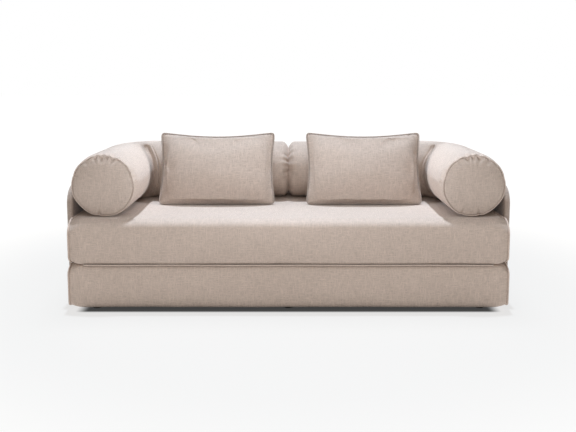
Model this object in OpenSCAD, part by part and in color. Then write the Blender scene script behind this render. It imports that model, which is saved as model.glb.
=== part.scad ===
// Low fold-out sofa bed: two padded layers joined by a sewn front seam, a thin upholstered
// border on three sides, two long rolls bent round the back corners, and two piped pillows.
// Front faces -Y, +X is the viewer's right, +Z is up, the floor is z = 0.

/* [Layers] */
// Width of the upper layer, which is also the lying length
upper_w = 2014; // [1600:2:2200]
// Depth of a layer from front to back
layer_d = 800; // [700:10:1000]
// Height of the lower layer's padded box
lower_h = 200; // [170:5:260]
// Open gap between the two layers
layer_gap = 2; // [1.6:0.1:4]
// How far the seat's long edges round down
seat_edge_drop = 38; // [20:1:60]
// How far in from the edge that rounding starts
seat_edge_run = 70; // [40:1:90]
// Rounding of the long edges where the layers meet
meet_edge_r = 8; // [5:1:14]
// Rounding of the lower layer's foot
foot_edge_r = 16; // [8:1:24]
// Corner radius of the piped end panels at the seat
end_top_r = 42; // [30:1:60]
// Corner radius of the piped end panels elsewhere
end_side_r = 28; // [18:1:40]
// Length over which an end is drawn in by its piping
end_draw_run = 70; // [50:5:180]
// Swell of the front faces at half height
front_swell = 3; // [1:0.5:6]
// Padding in the vertical sides of a layer's cover
side_pad = 24; // [22:1:40]
// Wadding on top of the seat foam
seat_pad = 20; // [18:1:30]
// Wadding on the faces where the layers meet
meet_pad = 10; // [8:1:16]
// Thickness of the cover under the base frame
base_pad = 6; // [5:0.5:10]

/* [Piping] */
// Radius of the round piping
welt_r = 3.5; // [2:0.1:5]
// Distance of an end seam from the end face
seam_in = 9; // [8:0.5:18]
// Depth and half width of the groove that the piping lies in
seam_groove = 6; // [5:0.1:8]
// How far the seam is drawn in below the faces
seam_step = 4; // [3:0.5:8]

/* [Border panels] */
// Free space between the upper layer and each side panel
panel_gap = 5; // [4:1:20]
// Free space between the upper layer and the back panel
back_gap = 8; // [5:1:20]
// Thickness of an upholstered panel
panel_t = 28; // [26:1:50]
// Thickness of the board inside it
board_t = 18; // [12:1:24]
// Height of the panels' top edge above the floor
panel_top = 555; // [480:5:640]
// Height of the panels' foot above the floor
panel_foot = 18; // [12:1:40]
// How far the side panels stop short of the front
panel_setback = 110; // [40:5:200]
// Rounding of a side panel's front top corner
panel_front_r = 90; // [30:5:150]
// Rounding of a panel's other corners
panel_corner_r = 24; // [16:1:40]
// Rounding of a panel's edges across its thickness
panel_edge_r = 12; // [6:1:16]

/* [Base frame] */
// Thickness of the wooden rails
rail_t = 25; // [18:1:35]
// Height of the wooden rails
rail_h = 70; // [50:1:90]
// Thickness of the plywood deck
deck_t = 12; // [9:1:18]
// Number of cross rails
cross_count = 3; // [1:2:5]
// Leg length of the triangular corner blocks
block_leg = 70; // [40:5:120]
// Height of the corner blocks
block_h = 50; // [30:1:50]

/* [Glides] */
// Diameter of a glide
glide_d = 40; // [30:1:60]
// Height of a glide
glide_h = 8; // [5:0.5:12]
// Distance of the outer glides from the frame's ends
glide_in = 100; // [90:5:200]

/* [Fasteners] */
// Shank diameter of the wood screws
screw_d = 4.5; // [3.5:0.5:5]
// Head diameter of the wood screws
screw_head_d = 9; // [7:0.5:10]
// Head height of the wood screws
screw_head_h = 3; // [2:0.5:4]
// Length that a screw reaches into the wood
screw_hold = 28; // [15:1:40]
// Shank diameter of the panel bolts
bolt_d = 8; // [6:1:10]
// Head diameter of the panel bolts
bolt_head_d = 17; // [13:1:20]
// Head height of the panel bolts
bolt_head_h = 4.5; // [3:0.5:6]
// Flange diameter of the tee nuts
nut_flange_d = 22; // [18:1:26]
// Flange thickness of the tee nuts
nut_flange_t = 1.5; // [1:0.1:2]
// Barrel diameter of the tee nuts
nut_barrel_d = 11; // [11:0.5:13]
// Length of the tee nuts
nut_l = 12; // [8:1:12]
// Distance of the outer bolts from the ends of a side rail
side_bolt_in = 160; // [100:10:220]
// Distance of the outer bolts from the ends of the back rail
back_bolt_in = 280; // [200:10:400]

/* [Fold seam] */
// Free space left between the two front faces when folded out
fold_clear = 0.5; // [0.3:0.1:2]
// Radius of the round bead sewn into the fold seam
bead_r = 4.5; // [3:0.1:5]
// Thickness of the hinge tapes
tape_t = 0.7; // [0.4:0.1:0.75]
// How far the hinge tapes reach in between the layers
tape_reach = 45; // [25:5:80]

/* [Rolls] */
// Radius of a roll
roll_r = 151; // [120:1:165]
// How much its own weight flattens a roll's underside
roll_flat = 4; // [2:0.5:8]
// Free space between an arm and the side panel beside it
roll_side_gap = 6; // [1:1:54]
// Distance of the arm's front face from the layers' front
roll_front_in = 58; // [30:1:120]
// Free space between the rolls and the back panel
roll_back_gap = 7; // [2:1:57]
// Radius of the bend, on the roll's axis
bend_r = 200; // [180:5:300]
// Gap between the two rolls where they meet
roll_meet_gap = 0.8; // [0.6:0.1:4]
// Thickness of a roll's cover with its wadding
roll_pad = 21; // [18:1:30]
// Depth of the crease on the inside of the bend
crease_depth = 15; // [4:1:16]
// Swell of the roll on the outside of the bend
corner_swell = 5; // [0:0.5:8]
// How far the front seam is drawn in below the roll
roll_shoulder = 8; // [6:0.5:12]
// Length over which the roll swells to its full size
shoulder_run = 60; // [40:5:100]
// Distance of the front seam from the front of the disc
disc_dome = 15; // [12:0.5:24]
// Length of the rounded inner end
dome_run = 42; // [25:1:60]
// How far the rounded inner end drops
dome_drop = 65; // [40:1:90]

/* [Pillows] */
// Share of the space between the arms that a pillow's width takes
pillow_share = 0.4176; // [0.3:0.0001:0.45]
// Height of a pillow between its seams
pillow_h = 372; // [300:2:420]
// Thickness of a pillow at its crown
pillow_t = 140; // [100:2:170]
// How far a pillow leans back
pillow_lean = 18; // [10:1:24]
// Free space between the left pillow and the arm beside it
pillow_left_gap = 47; // [20:1:70]
// Free space between the right pillow and the arm beside it
pillow_right_gap = 27; // [20:1:70]
// How far the short sides are drawn in
side_draw = 19; // [5:1:30]
// How far the top side is drawn in
top_draw = 26; // [5:1:36]
// How far the lower side is drawn in
foot_draw = 5; // [2:1:12]
// Thickness of a pillow's seam
seam_band = 3; // [2:0.5:5]
// Thickness of a pillow's cover with its wadding
pillow_pad = 12; // [10:1:16]

/* [Zips] */
// Width of a zip's tape
zip_w = 26; // [20:1:32]
// Thickness of a zip's tape
zip_t = 1; // [0.6:0.1:1.4]
// Radius of a zip's coil
coil_r = 1.6; // [1.2:0.1:2]
// Share of a roll's straight back part that its zip takes
roll_zip_share = 0.64; // [0.3:0.01:0.75]
// Share of the upper layer's width that its zip takes
zip_share = 0.7; // [0.4:0.05:0.8]
// Length of a zip's slider
slider_l = 11; // [8:0.5:14]
// Width of a zip's slider
slider_w = 7; // [5:0.5:9]
// Length of a zip's pull
pull_l = 22; // [14:1:30]

/* [Clearances] */
// Clearance of a soft piece that rests on another
rest_clear = 0.3; // [0.2:0.05:0.6]
// Clearance of a fastener in its hole
fit_clear = 0.1; // [0.05:0.05:0.3]

/* [Hidden] */

cloth = [0.70, 0.65, 0.59];
cloth_seat = [0.76, 0.71, 0.65];
cloth_edge = [0.56, 0.52, 0.48];
foam_tint = [0.93, 0.90, 0.78];
timber = [0.78, 0.62, 0.42];
ply = [0.83, 0.70, 0.50];
steel = [0.62, 0.63, 0.65];
black = [0.10, 0.10, 0.11];

// Heights
upper_h = lower_h + glide_h; // so that the flipped layer lies level with the lower one
lower_z = glide_h;
lower_top = lower_z + lower_h;
upper_z = lower_top + layer_gap;
seat_z = upper_z + upper_h;
fold_z = lower_top + layer_gap / 2;

// Places from front to back
fold_out = front_swell + fold_clear;
depth_all = bead_r + fold_out + layer_d + back_gap + panel_t;
fold_y = bead_r - depth_all / 2;
front_y = fold_y + fold_out;
back_y = front_y + layer_d;
wall_y = back_y + back_gap;

// Places from side to side
wall_x = upper_w / 2 + panel_gap;
lower_w = 2 * (wall_x - rest_clear);
lower_back = wall_y - rest_clear;

// Base frame inside the lower cover
frame_x = lower_w / 2 - side_pad;
frame_front = front_y + side_pad;
frame_back = lower_back - side_pad;
frame_z = lower_z + base_pad;
rail_top = frame_z + rail_h;
deck_top = rail_top + deck_t;
wall_pad = (panel_t - board_t) / 2;
bolt_z = frame_z + rail_h / 2;

// Piping lies against both walls of its groove
piping_in = seam_step + seam_groove - (welt_r + rest_clear) * sqrt(2);

// Rolls
roll_x = wall_x - roll_side_gap - roll_r;
roll_y = wall_y - roll_back_gap - roll_r;
roll_front = front_y + roll_front_in;
roll_foot = seat_z + rest_clear;
roll_z = roll_foot + roll_r - roll_flat;
arm_l = roll_y - bend_r - roll_front;
bend_l = bend_r * PI / 2;
rear_l = roll_x - bend_r - roll_meet_gap / 2;
roll_l = arm_l + bend_l + rear_l;
roll_zip_l = rear_l * roll_zip_share;
disc_r = roll_r - roll_shoulder;
core_r = roll_r - roll_pad;
core_start = disc_dome + 2 * seam_groove + roll_pad / 2;
core_end = dome_run + roll_pad / 2;

// Pillows stand beside the arms
pillow_w = 2 * (roll_x - roll_r) * pillow_share;
pillow_left_x = roll_r - roll_x + pillow_left_gap + pillow_w / 2;
pillow_right_x = roll_x - roll_r - pillow_right_gap - pillow_w / 2;

// Fineness of the curved forms
arc_steps = 5;
roll_sides = 28;
welt_sides = 6;
pillow_cols = 14;
pillow_rows = 12;
core_cols = 8;
core_rows = 6;
cut = 1; // overrun of every cut
least_r = 0.5; // smallest corner radius of a drawn-in outline

function mix(a, b, t) = a + (b - a) * t;
function smooth(t) = let (c = min(1, max(0, t))) c * c * (3 - 2 * c);

// Quarter ellipse about a corner's centre
function quarter(centre, r, from) = [
    for (i = [0:arc_steps]) let (a = from + 90 * i / arc_steps)
        [centre[0] + r[0] * cos(a), centre[1] + r[1] * sin(a)]
];

// Points between two corners, without the corners
function between(a, b, count) = [for (i = [1:count]) mix(a, b, i / (count + 1))];

// Outline of a box with rounded corners, anticlockwise from its low corner at the front
function outline(lo, hi, r, fill) = let (
    corner = [
        quarter([lo[0] + r[0][0], lo[1] + r[0][1]], r[0], 180),
        quarter([hi[0] - r[1][0], lo[1] + r[1][1]], r[1], 270),
        quarter([hi[0] - r[2][0], hi[1] - r[2][1]], r[2], 0),
        quarter([lo[0] + r[3][0], hi[1] - r[3][1]], r[3], 90)
    ])
    concat(corner[0], corner[1], between(corner[1][arc_steps], corner[2][0], fill),
        corner[2], corner[3], between(corner[3][arc_steps], corner[0][0], fill));

function shrunk(r, inset) = [for (pair = r) [for (size = pair) max(size - inset, least_r)]];

// Solid through a row of rings, closed by a fan at each end
module loft(rings, first, last) {
    n = len(rings[0]);
    m = len(rings);
    sides = [
        for (i = [0:m - 2], j = [0:n - 1])
            let (k = (j + 1) % n, a = i * n + j, b = i * n + k, c = b + n, d = a + n)
                each [[a, d, c], [a, c, b]]
    ];
    ends = [
        for (j = [0:n - 1]) let (k = (j + 1) % n, base = (m - 1) * n)
            each [[m * n, j, k], [m * n + 1, base + k, base + j]]
    ];
    polyhedron([each [for (ring = rings) each ring], first, last], concat(sides, ends),
        convexity = 8);
}

// Solid through a closed loop of rings
module closed_loft(rings) {
    n = len(rings[0]);
    m = len(rings);
    polyhedron([for (ring = rings) each ring], [
        for (i = [0:m - 1], j = [0:n - 1])
            let (k = (j + 1) % n, next = ((i + 1) % m) * n)
                each [[i * n + j, next + j, next + k], [i * n + j, next + k, i * n + k]]
    ], convexity = 8);
}

// Fasteners, along +X with the driven face of the wood at x = 0
module along_x() {
    rotate([0, 90, 0]) children();
}

module screw_shape(grip) {
    translate([0, 0, -grip - screw_hold])
        cylinder(d = screw_d, h = grip + screw_hold, $fn = 24);
    cylinder(d = screw_head_d, h = screw_head_h, $fn = 24);
}

module screw_hole(deep) {
    translate([0, 0, -deep])
        cylinder(d = screw_d + 2 * fit_clear, h = deep + cut, $fn = 24);
}

// Base frame
cross_xs = [
    for (i = [1:cross_count])
        mix(-frame_x + rail_t, frame_x - rail_t, i / (cross_count + 1))
];
glide_places = [
    for (x = [-frame_x + glide_in, 0, frame_x - glide_in],
        y = [frame_front + rail_t / 2, frame_back - rail_t / 2]) [x, y]
];
deck_places = [
    for (x = [-frame_x + glide_in / 2, each [for (c = cross_xs) c + rail_t], frame_x - glide_in / 2],
        y = [frame_front + rail_t / 2, frame_back - rail_t / 2]) [x, y]
];
side_bolt_ys = [
    frame_front + side_bolt_in, (frame_front + frame_back) / 2, frame_back - side_bolt_in
];
back_bolt_xs = [for (i = [0:3]) mix(-frame_x + back_bolt_in, frame_x - back_bolt_in, i / 3)];
bolt_grip = rail_t + side_pad + rest_clear + wall_pad + board_t - nut_flange_t;

// Moves a shape to each glide's screw, with z = 0 at the screw head's seat
module at_glides() {
    for (place = glide_places)
        translate([place[0], place[1], screw_head_h + fit_clear]) mirror([0, 0, 1]) children();
}

module at_deck_screws() {
    for (place = deck_places)
        translate([place[0], place[1], deck_top - screw_head_h]) children();
}

// Moves a shape drawn along +X to the bolts of one side panel (side = 1 is the right one)
module at_side_bolts(side) {
    for (y = side_bolt_ys)
        mirror([side > 0 ? 0 : 1, 0, 0]) translate([frame_x - rail_t, y, bolt_z]) children();
}

module at_back_bolts() {
    for (x = back_bolt_xs)
        translate([x, frame_back - rail_t, bolt_z]) rotate([0, 0, 90]) children();
}

module bolt_hole(from, to) {
    translate([from, 0, 0]) along_x()
        cylinder(d = bolt_d + 2 * fit_clear, h = to - from, $fn = 32);
}

module nut_hole() {
    outer = bolt_grip + nut_flange_t;
    translate([outer - nut_l, 0, 0]) along_x()
        cylinder(d = nut_barrel_d + 2 * fit_clear, h = nut_l + cut, $fn = 32);
    translate([bolt_grip - fit_clear, 0, 0]) along_x()
        cylinder(d = nut_flange_d + 2 * fit_clear, h = nut_flange_t + fit_clear + cut, $fn = 32);
}

module glides() color(black)
    difference() {
        for (place = glide_places)
            translate([place[0], place[1], 0]) cylinder(d = glide_d, h = glide_h, $fn = 48);
        at_glides() {
            screw_hole(glide_h + cut);
            cylinder(d = screw_head_d + 2 * fit_clear, h = glide_h, $fn = 24);
        }
    }

module glide_screws() color(steel)
    at_glides() screw_shape(frame_z - screw_head_h);

module long_rail(y) {
    difference() {
        translate([-frame_x, y, frame_z]) cube([2 * frame_x, rail_t, rail_h]);
        at_glides() screw_hole(frame_z + screw_hold);
        at_deck_screws() screw_hole(deck_t + screw_hold);
        at_back_bolts() bolt_hole(-cut, rail_t + cut);
    }
}

module front_rail() color(timber) long_rail(frame_front);

module back_rail() color(timber) long_rail(frame_back - rail_t);

module side_rail(side) {
    difference() {
        translate([side > 0 ? frame_x - rail_t : -frame_x, frame_front + rail_t, frame_z])
            cube([rail_t, frame_back - frame_front - 2 * rail_t, rail_h]);
        at_side_bolts(side) bolt_hole(-cut, rail_t + cut);
    }
}

module left_rail() color(timber) side_rail(-1);

module right_rail() color(timber) side_rail(1);

module cross_rails() color(timber)
    for (x = cross_xs)
        translate([x - rail_t / 2, frame_front + rail_t, frame_z])
            cube([rail_t, frame_back - frame_front - 2 * rail_t, rail_h]);

module corner_blocks() color(timber)
    for (side = [0, 1], end = [0, 1])
        mirror([side, 0, 0])
            translate([frame_x - rail_t, end > 0 ? frame_back - rail_t : frame_front + rail_t,
                rail_top - block_h])
                mirror([0, end, 0]) linear_extrude(block_h)
                    polygon([[0, 0], [0, block_leg], [-block_leg, 0]]);

module deck() color(ply)
    difference() {
        translate([-frame_x, frame_front, rail_top])
            cube([2 * frame_x, frame_back - frame_front, deck_t]);
        at_deck_screws() {
            screw_hole(deck_t + cut);
            cylinder(d = screw_head_d + 2 * fit_clear, h = screw_head_h + cut, $fn = 24);
        }
    }

module deck_screws() color(steel)
    at_deck_screws() screw_shape(deck_t - screw_head_h);

module panel_bolts() color(steel) {
    for (side = [-1, 1]) at_side_bolts(side) panel_bolt();
    at_back_bolts() panel_bolt();
}

module panel_bolt() {
    translate([-bolt_head_h, 0, 0]) along_x() cylinder(d = bolt_head_d, h = bolt_head_h, $fn = 32);
    along_x() cylinder(d = bolt_d, h = bolt_grip, $fn = 32);
}

module tee_nuts() color(steel) {
    for (side = [-1, 1]) at_side_bolts(side) tee_nut();
    at_back_bolts() tee_nut();
}

module tee_nut() {
    outer = bolt_grip + nut_flange_t;
    difference() {
        union() {
            translate([outer - nut_l, 0, 0]) along_x() cylinder(d = nut_barrel_d, h = nut_l, $fn = 32);
            translate([bolt_grip, 0, 0]) along_x()
                cylinder(d = nut_flange_d, h = nut_flange_t, $fn = 32);
        }
        bolt_hole(outer - nut_l - cut, outer + cut);
    }
}

// Stations of a layer from its end face inwards: distance from the end, inset, share of full form
end_stations = [
    [0, seam_step + 2 * seam_groove, 0],
    [(seam_in - seam_groove) / 3, seam_step + seam_groove * 0.6, 0],
    [seam_in - seam_groove, seam_step, 0],
    [seam_in, seam_step + seam_groove, 0],
    each [
        for (t = [0, 0.2, 0.45, 0.7, 1])
            [mix(seam_in + seam_groove, end_draw_run, t), seam_step * (1 - t) * (1 - t), smooth(t)]
    ]
];

// A padded box whose ends are drawn in by piping, lofted from side to side
module layer_form(w, back, z, top, head, foot, end_head) {
    stations = concat(
        [for (s = end_stations) [s[0] - w / 2, s[1], s[2]]],
        [for (share = [-0.25, 0, 0.25]) [w * share, 0, 1]],
        [for (i = [1:len(end_stations)]) let (s = end_stations[len(end_stations) - i])
            [w / 2 - s[0], s[1], s[2]]]);
    middle = (z + top) / 2;
    rings = [
        for (s = stations) let (
            head_r = mix([end_head, end_head], head, s[2]),
            foot_r = mix([end_side_r, end_side_r], foot, s[2]),
            r = shrunk([foot_r, foot_r, head_r, head_r], s[1]))
            [for (p = outline([front_y + s[1], z + s[1]], [back - s[1], top - s[1]], r, 2))
                let (v = (p[1] - middle) / (top - middle),
                    swell = p[0] < (front_y + back) / 2 ? front_swell * s[2] * (1 - v * v) : 0)
                    [s[0], p[0] - swell, p[1]]]
    ];
    loft(rings, [-w / 2, (front_y + back) / 2, middle], [w / 2, (front_y + back) / 2, middle]);
}

// Round piping along an end seam, on a rounded rectangle in the YZ plane
module end_piping(x, back, z, top, end_head) {
    lo = [front_y + piping_in, z + piping_in];
    hi = [back - piping_in, top - piping_in];
    foot_r = end_side_r - piping_in;
    head_r = end_head - piping_in;
    translate([x, 0, 0]) {
        piping_run([lo[0] + foot_r, lo[1]], hi[0] - lo[0] - 2 * foot_r, 0);
        piping_run([lo[0] + head_r, hi[1]], hi[0] - lo[0] - 2 * head_r, 0);
        piping_run([lo[0], lo[1] + foot_r], hi[1] - lo[1] - foot_r - head_r, 90);
        piping_run([hi[0], lo[1] + foot_r], hi[1] - lo[1] - foot_r - head_r, 90);
        piping_turn([lo[0] + foot_r, lo[1] + foot_r], foot_r, 180);
        piping_turn([hi[0] - foot_r, lo[1] + foot_r], foot_r, 270);
        piping_turn([hi[0] - head_r, hi[1] - head_r], head_r, 0);
        piping_turn([lo[0] + head_r, hi[1] - head_r], head_r, 90);
    }
}

module piping_run(start, l, turn) {
    translate([0, start[0], start[1]]) rotate([turn, 0, 0]) rotate([-90, 0, 0])
        cylinder(r = welt_r, h = l, $fn = 24);
}

module piping_turn(centre, r, from) {
    translate([0, centre[0], centre[1]]) rotate([from, 0, 0]) rotate([90, 0, 90])
        rotate_extrude(angle = 90, $fn = 48) translate([r, 0]) circle(r = welt_r, $fn = 24);
}

module lower_cover() color(cloth)
    difference() {
        layer_form(lower_w, lower_back, lower_z, lower_top, [meet_edge_r, meet_edge_r],
            [foot_edge_r, foot_edge_r], end_side_r);
        translate([-frame_x, frame_front, frame_z])
            cube([2 * frame_x, frame_back - frame_front, lower_top - meet_pad - frame_z]);
        at_glides() screw_hole(frame_z + cut);
        for (side = [-1, 1]) at_side_bolts(side) bolt_hole(rail_t - cut, rail_t + side_pad + cut);
        at_back_bolts() bolt_hole(rail_t - cut, rail_t + side_pad + cut);
    }

module lower_foam() color(foam_tint)
    translate([-frame_x, frame_front, deck_top])
        cube([2 * frame_x, frame_back - frame_front, lower_top - meet_pad - deck_top]);

module lower_piping() color(cloth_edge)
    for (side = [-1, 1])
        end_piping(side * (lower_w / 2 - seam_in), lower_back, lower_z, lower_top, end_side_r);

module upper_cover() color(cloth_seat)
    difference() {
        layer_form(upper_w, back_y, upper_z, seat_z, [seat_edge_run, seat_edge_drop],
            [meet_edge_r, meet_edge_r], end_top_r);
        upper_foam_shape();
        translate([-upper_w * zip_share / 2 - fit_clear, back_y - zip_t - fit_clear,
            zip_z - zip_w / 2 - fit_clear])
            cube([upper_w * zip_share + 2 * fit_clear, zip_t + cut, zip_w + 2 * fit_clear]);
    }

module upper_foam_shape()
    translate([side_pad - upper_w / 2, front_y + side_pad, upper_z + meet_pad])
        cube([upper_w - 2 * side_pad, layer_d - 2 * side_pad, upper_h - meet_pad - seat_pad]);

module upper_foam() color(foam_tint) upper_foam_shape();

module upper_piping() color(cloth_edge)
    for (side = [-1, 1])
        end_piping(side * (upper_w / 2 - seam_in), back_y, upper_z, seat_z, end_top_r);

// Fold seam: a tape on each layer, and the bead on the line that the upper layer turns about
hinge_l = upper_w - 2 * end_draw_run;

module hinge_tape(z) {
    translate([-hinge_l / 2, fold_y + bead_r, z])
        cube([hinge_l, front_y + tape_reach - fold_y - bead_r, tape_t]);
}

module lower_hinge_tape() color(cloth_edge) hinge_tape(lower_top);

module upper_hinge_tape() color(cloth_edge) hinge_tape(upper_z - tape_t);

module fold_bead() color(cloth)
    translate([-hinge_l / 2, fold_y, fold_z]) along_x() cylinder(r = bead_r, h = hinge_l, $fn = 32);

// Zips
zip_z = upper_z + upper_h / 2;
slider_x = upper_w * zip_share / 2 - slider_l - pull_l;

// A zip along +X, centred, with its tape's face at z = 0 and half of its coil standing out of it
module zip(l) {
    translate([-l / 2, -zip_w / 2, -zip_t]) cube([l, zip_w, zip_t]);
    difference() {
        translate([-l / 2, 0, 0]) along_x() cylinder(r = coil_r, h = l, $fn = 16);
        translate([-l / 2 - cut, -coil_r, -coil_r - cut])
            cube([l + 2 * cut, 2 * coil_r, coil_r + cut]);
    }
}

module upper_zip() color(cloth_edge)
    translate([0, back_y, zip_z]) rotate([-90, 0, 0]) {
        zip(upper_w * zip_share);
        translate([slider_x, -slider_w / 2, 0]) cube([slider_l, slider_w, coil_r + 2 * zip_t]);
        translate([slider_x + slider_l - zip_t, -slider_w / 4, coil_r + zip_t])
            cube([pull_l, slider_w / 2, zip_t]);
    }

// Border panels: local x is the thickness, y runs along the panel, z is up
module board_shape(l, front_r) {
    h = panel_top - panel_foot;
    r = [for (size = [panel_corner_r, panel_corner_r, panel_corner_r, front_r]) [size, size]];
    translate([wall_pad, 0, 0]) rotate([90, 0, 90]) linear_extrude(board_t)
        polygon(outline([wall_pad, wall_pad], [l - wall_pad, h - wall_pad], shrunk(r, wall_pad), 0));
}

module padded_board(l, front_r) {
    h = panel_top - panel_foot;
    r = [for (size = [panel_corner_r, panel_corner_r, panel_corner_r, front_r]) [size, size]];
    stations = [
        each [for (a = [0, 30, 60, 90]) [panel_edge_r * (1 - cos(a)), panel_edge_r * (1 - sin(a))]],
        each [for (a = [90, 60, 30, 0])
            [panel_t - panel_edge_r * (1 - cos(a)), panel_edge_r * (1 - sin(a))]]
    ];
    rings = [
        for (s = stations)
            [for (p = outline([s[1], s[1]], [l - s[1], h - s[1]], shrunk(r, s[1]), 0))
                [s[0], p[0], p[1]]]
    ];
    difference() {
        loft(rings, [0, l / 2, h / 2], [panel_t, l / 2, h / 2]);
        board_shape(l, front_r);
    }
}

side_panel_l = wall_y + panel_t - front_y - panel_setback;
back_panel_l = 2 * (wall_x - rest_clear);

// Moves a side panel's own frame to its place
module at_side_panel(side) {
    mirror([side > 0 ? 0 : 1, 0, 0])
        translate([wall_x, front_y + panel_setback, panel_foot]) children();
}

module at_back_panel() {
    translate([back_panel_l / 2, wall_y, panel_foot]) rotate([0, 0, 90]) children();
}

module side_panel_cover(side)
    difference() {
        at_side_panel(side) padded_board(side_panel_l, panel_front_r);
        at_side_bolts(side) bolt_hole(rail_t + side_pad - cut, bolt_grip - board_t / 2);
    }

module side_board(side)
    difference() {
        at_side_panel(side) board_shape(side_panel_l, panel_front_r);
        at_side_bolts(side) {
            bolt_hole(rail_t + side_pad, bolt_grip);
            nut_hole();
        }
    }

module left_board() color(ply) side_board(-1);

module left_panel_cover() color(cloth) side_panel_cover(-1);

module right_board() color(ply) side_board(1);

module right_panel_cover() color(cloth) side_panel_cover(1);

module back_board() color(ply)
    difference() {
        at_back_panel() board_shape(back_panel_l, panel_corner_r);
        at_back_bolts() {
            bolt_hole(rail_t + side_pad, bolt_grip);
            nut_hole();
        }
    }

module back_panel_cover() color(cloth)
    difference() {
        at_back_panel() padded_board(back_panel_l, panel_corner_r);
        at_back_bolts() bolt_hole(rail_t + side_pad - cut, bolt_grip - board_t / 2);
    }

// Rolls: the left one is drawn, from its front disc round the corner to the middle
function roll_place(s) = let (t = (s - arm_l) / bend_r * 180 / PI)
    s < arm_l ? [-roll_x, roll_front + s, 90]
    : t < 90 ? [-roll_x + bend_r * (1 - cos(t)), roll_front + arm_l + bend_r * sin(t), 90 - t]
    : [-roll_x + bend_r + s - arm_l - bend_l, roll_y, 0];

// Ring of a roll: s along it, its radius, and shares of the crease and the corner's swell
function roll_ring(s, r, crease, swell) = let (place = roll_place(s)) [
    for (i = [0:roll_sides - 1]) let (
        a = 360 * i / roll_sides,
        inner = max(0, sin(a + 12)),
        outer = max(0, cos(a + 60)),
        reach = r - crease * crease_depth * pow(inner, 2) + swell * corner_swell * outer)
        [place[0] + reach * sin(a) * sin(place[2]), place[1] - reach * sin(a) * cos(place[2]),
            max(roll_foot, roll_z + reach * cos(a))]
];

// Shares along the bend with the depth of the crease at each
bend_shares = [
    [0, 0], [0.17, 0], [0.33, 0.05], [0.44, 0.3], [0.5, 1], [0.56, 0.3], [0.67, 0.05], [0.83, 0],
    [1, 0]
];

roll_stations = concat(
    [[disc_dome * 0.1, disc_r * 0.5], [disc_dome * 0.28, disc_r * 0.86],
        [disc_dome - seam_groove, disc_r], [disc_dome, disc_r - seam_groove],
        [disc_dome + seam_groove, disc_r]],
    [for (t = [0.3, 0.6, 1])
        [disc_dome + seam_groove + shoulder_run * t,
            mix(disc_r, roll_r, 1 - (1 - t) * (1 - t))]],
    [[arm_l * 0.6, roll_r]],
    [for (b = bend_shares) [arm_l + bend_l * b[0], roll_r, b[1], sin(180 * b[0])]],
    [for (share = [0.3, 0.65]) [arm_l + bend_l + (rear_l - dome_run) * share, roll_r]],
    [for (a = [90, 65, 42, 20, 0])
        [roll_l - dome_run * (1 - cos(a) * 0.93), roll_r - dome_drop * (1 - sin(a))]]);

module roll_shape() {
    rings = [
        for (s = roll_stations)
            roll_ring(s[0], s[1], len(s) > 2 ? s[2] : 0, len(s) > 3 ? s[3] : 0)
    ];
    loft(rings, [-roll_x, roll_front, roll_z], [-roll_meet_gap / 2, roll_y, roll_z]);
}

// The foam rod inside a roll, straight, bent and straight again
module roll_core_shape(r) {
    translate([-roll_x, roll_front + core_start, roll_z]) rotate([-90, 0, 0])
        cylinder(r = r, h = arm_l - core_start, $fn = 64);
    translate([bend_r - roll_x, roll_y - bend_r, roll_z]) rotate([0, 0, 90])
        rotate_extrude(angle = 90, $fn = 96) translate([bend_r, 0]) circle(r = r, $fn = 64);
    translate([bend_r - roll_x, roll_y, roll_z]) along_x()
        cylinder(r = r, h = rear_l - core_end, $fn = 64);
}

module roll_zip_place()
    translate([bend_r - roll_x + (rear_l - dome_run) / 2, roll_y, roll_foot]) children();

module roll_cover_shape()
    difference() {
        roll_shape();
        roll_core_shape(core_r);
        roll_zip_place()
            translate([-roll_zip_l / 2 - fit_clear, -zip_w / 2 - fit_clear, -cut])
                cube([roll_zip_l + 2 * fit_clear, zip_w + 2 * fit_clear,
                    cut + zip_t + coil_r + 2 * fit_clear]);
    }

module roll_piping_shape()
    translate([-roll_x, roll_front + disc_dome, roll_z]) rotate([90, 0, 0])
        rotate_extrude($fn = 96)
            translate([disc_r - seam_groove + (welt_r + rest_clear) * sqrt(2), 0])
                circle(r = welt_r, $fn = 24);

module roll_zip_shape()
    roll_zip_place() translate([0, 0, coil_r + fit_clear]) mirror([0, 0, 1]) zip(roll_zip_l);

module left_roll_core() color(foam_tint) roll_core_shape(core_r - fit_clear);

module left_roll_cover() color(cloth) roll_cover_shape();

module left_roll_piping() color(cloth_edge) roll_piping_shape();

module left_roll_zip() color(cloth_edge) roll_zip_shape();

module right_roll_core() color(foam_tint) mirror([1, 0, 0]) roll_core_shape(core_r - fit_clear);

module right_roll_cover() color(cloth) mirror([1, 0, 0]) roll_cover_shape();

module right_roll_piping() color(cloth_edge) mirror([1, 0, 0]) roll_piping_shape();

module right_roll_zip() color(cloth_edge) mirror([1, 0, 0]) roll_zip_shape();

// Pillows: u and v run from -1 to 1 across and up, side is -1 at the front and 1 at the back
crown_power_share = 0.6;
ear_share = 0.03;

function pillow_plan(u, v) = let (
    k = 1 - ear_share * pow(abs(u * v), 8),
    x = u * (pillow_w / 2 - side_draw * (1 - v * v)),
    z = v * (pillow_h / 2 - (v > 0 ? top_draw : foot_draw) * (1 - u * u)))
    [x * k, z * k];

function pillow_half(u, v, inset) = seam_band / 2 + (pillow_t / 2 - seam_band / 2 - inset)
    * pow(max(0, (1 - pow(abs(u), 2.4)) * (1 - pow(abs(v), 2.4))), crown_power_share);

function pillow_point(u, v, side, inset) = let (plan = pillow_plan(u, v)) [
    plan[0] * (1 - 2 * inset / pillow_w),
    side * pillow_half(u, v, inset),
    plan[1] * (1 - 2 * inset / pillow_h)
];

// Spreads grid lines so that they lie closer towards the seams
function spread(i, count) = sin(90 * (2 * i / count - 1));

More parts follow.
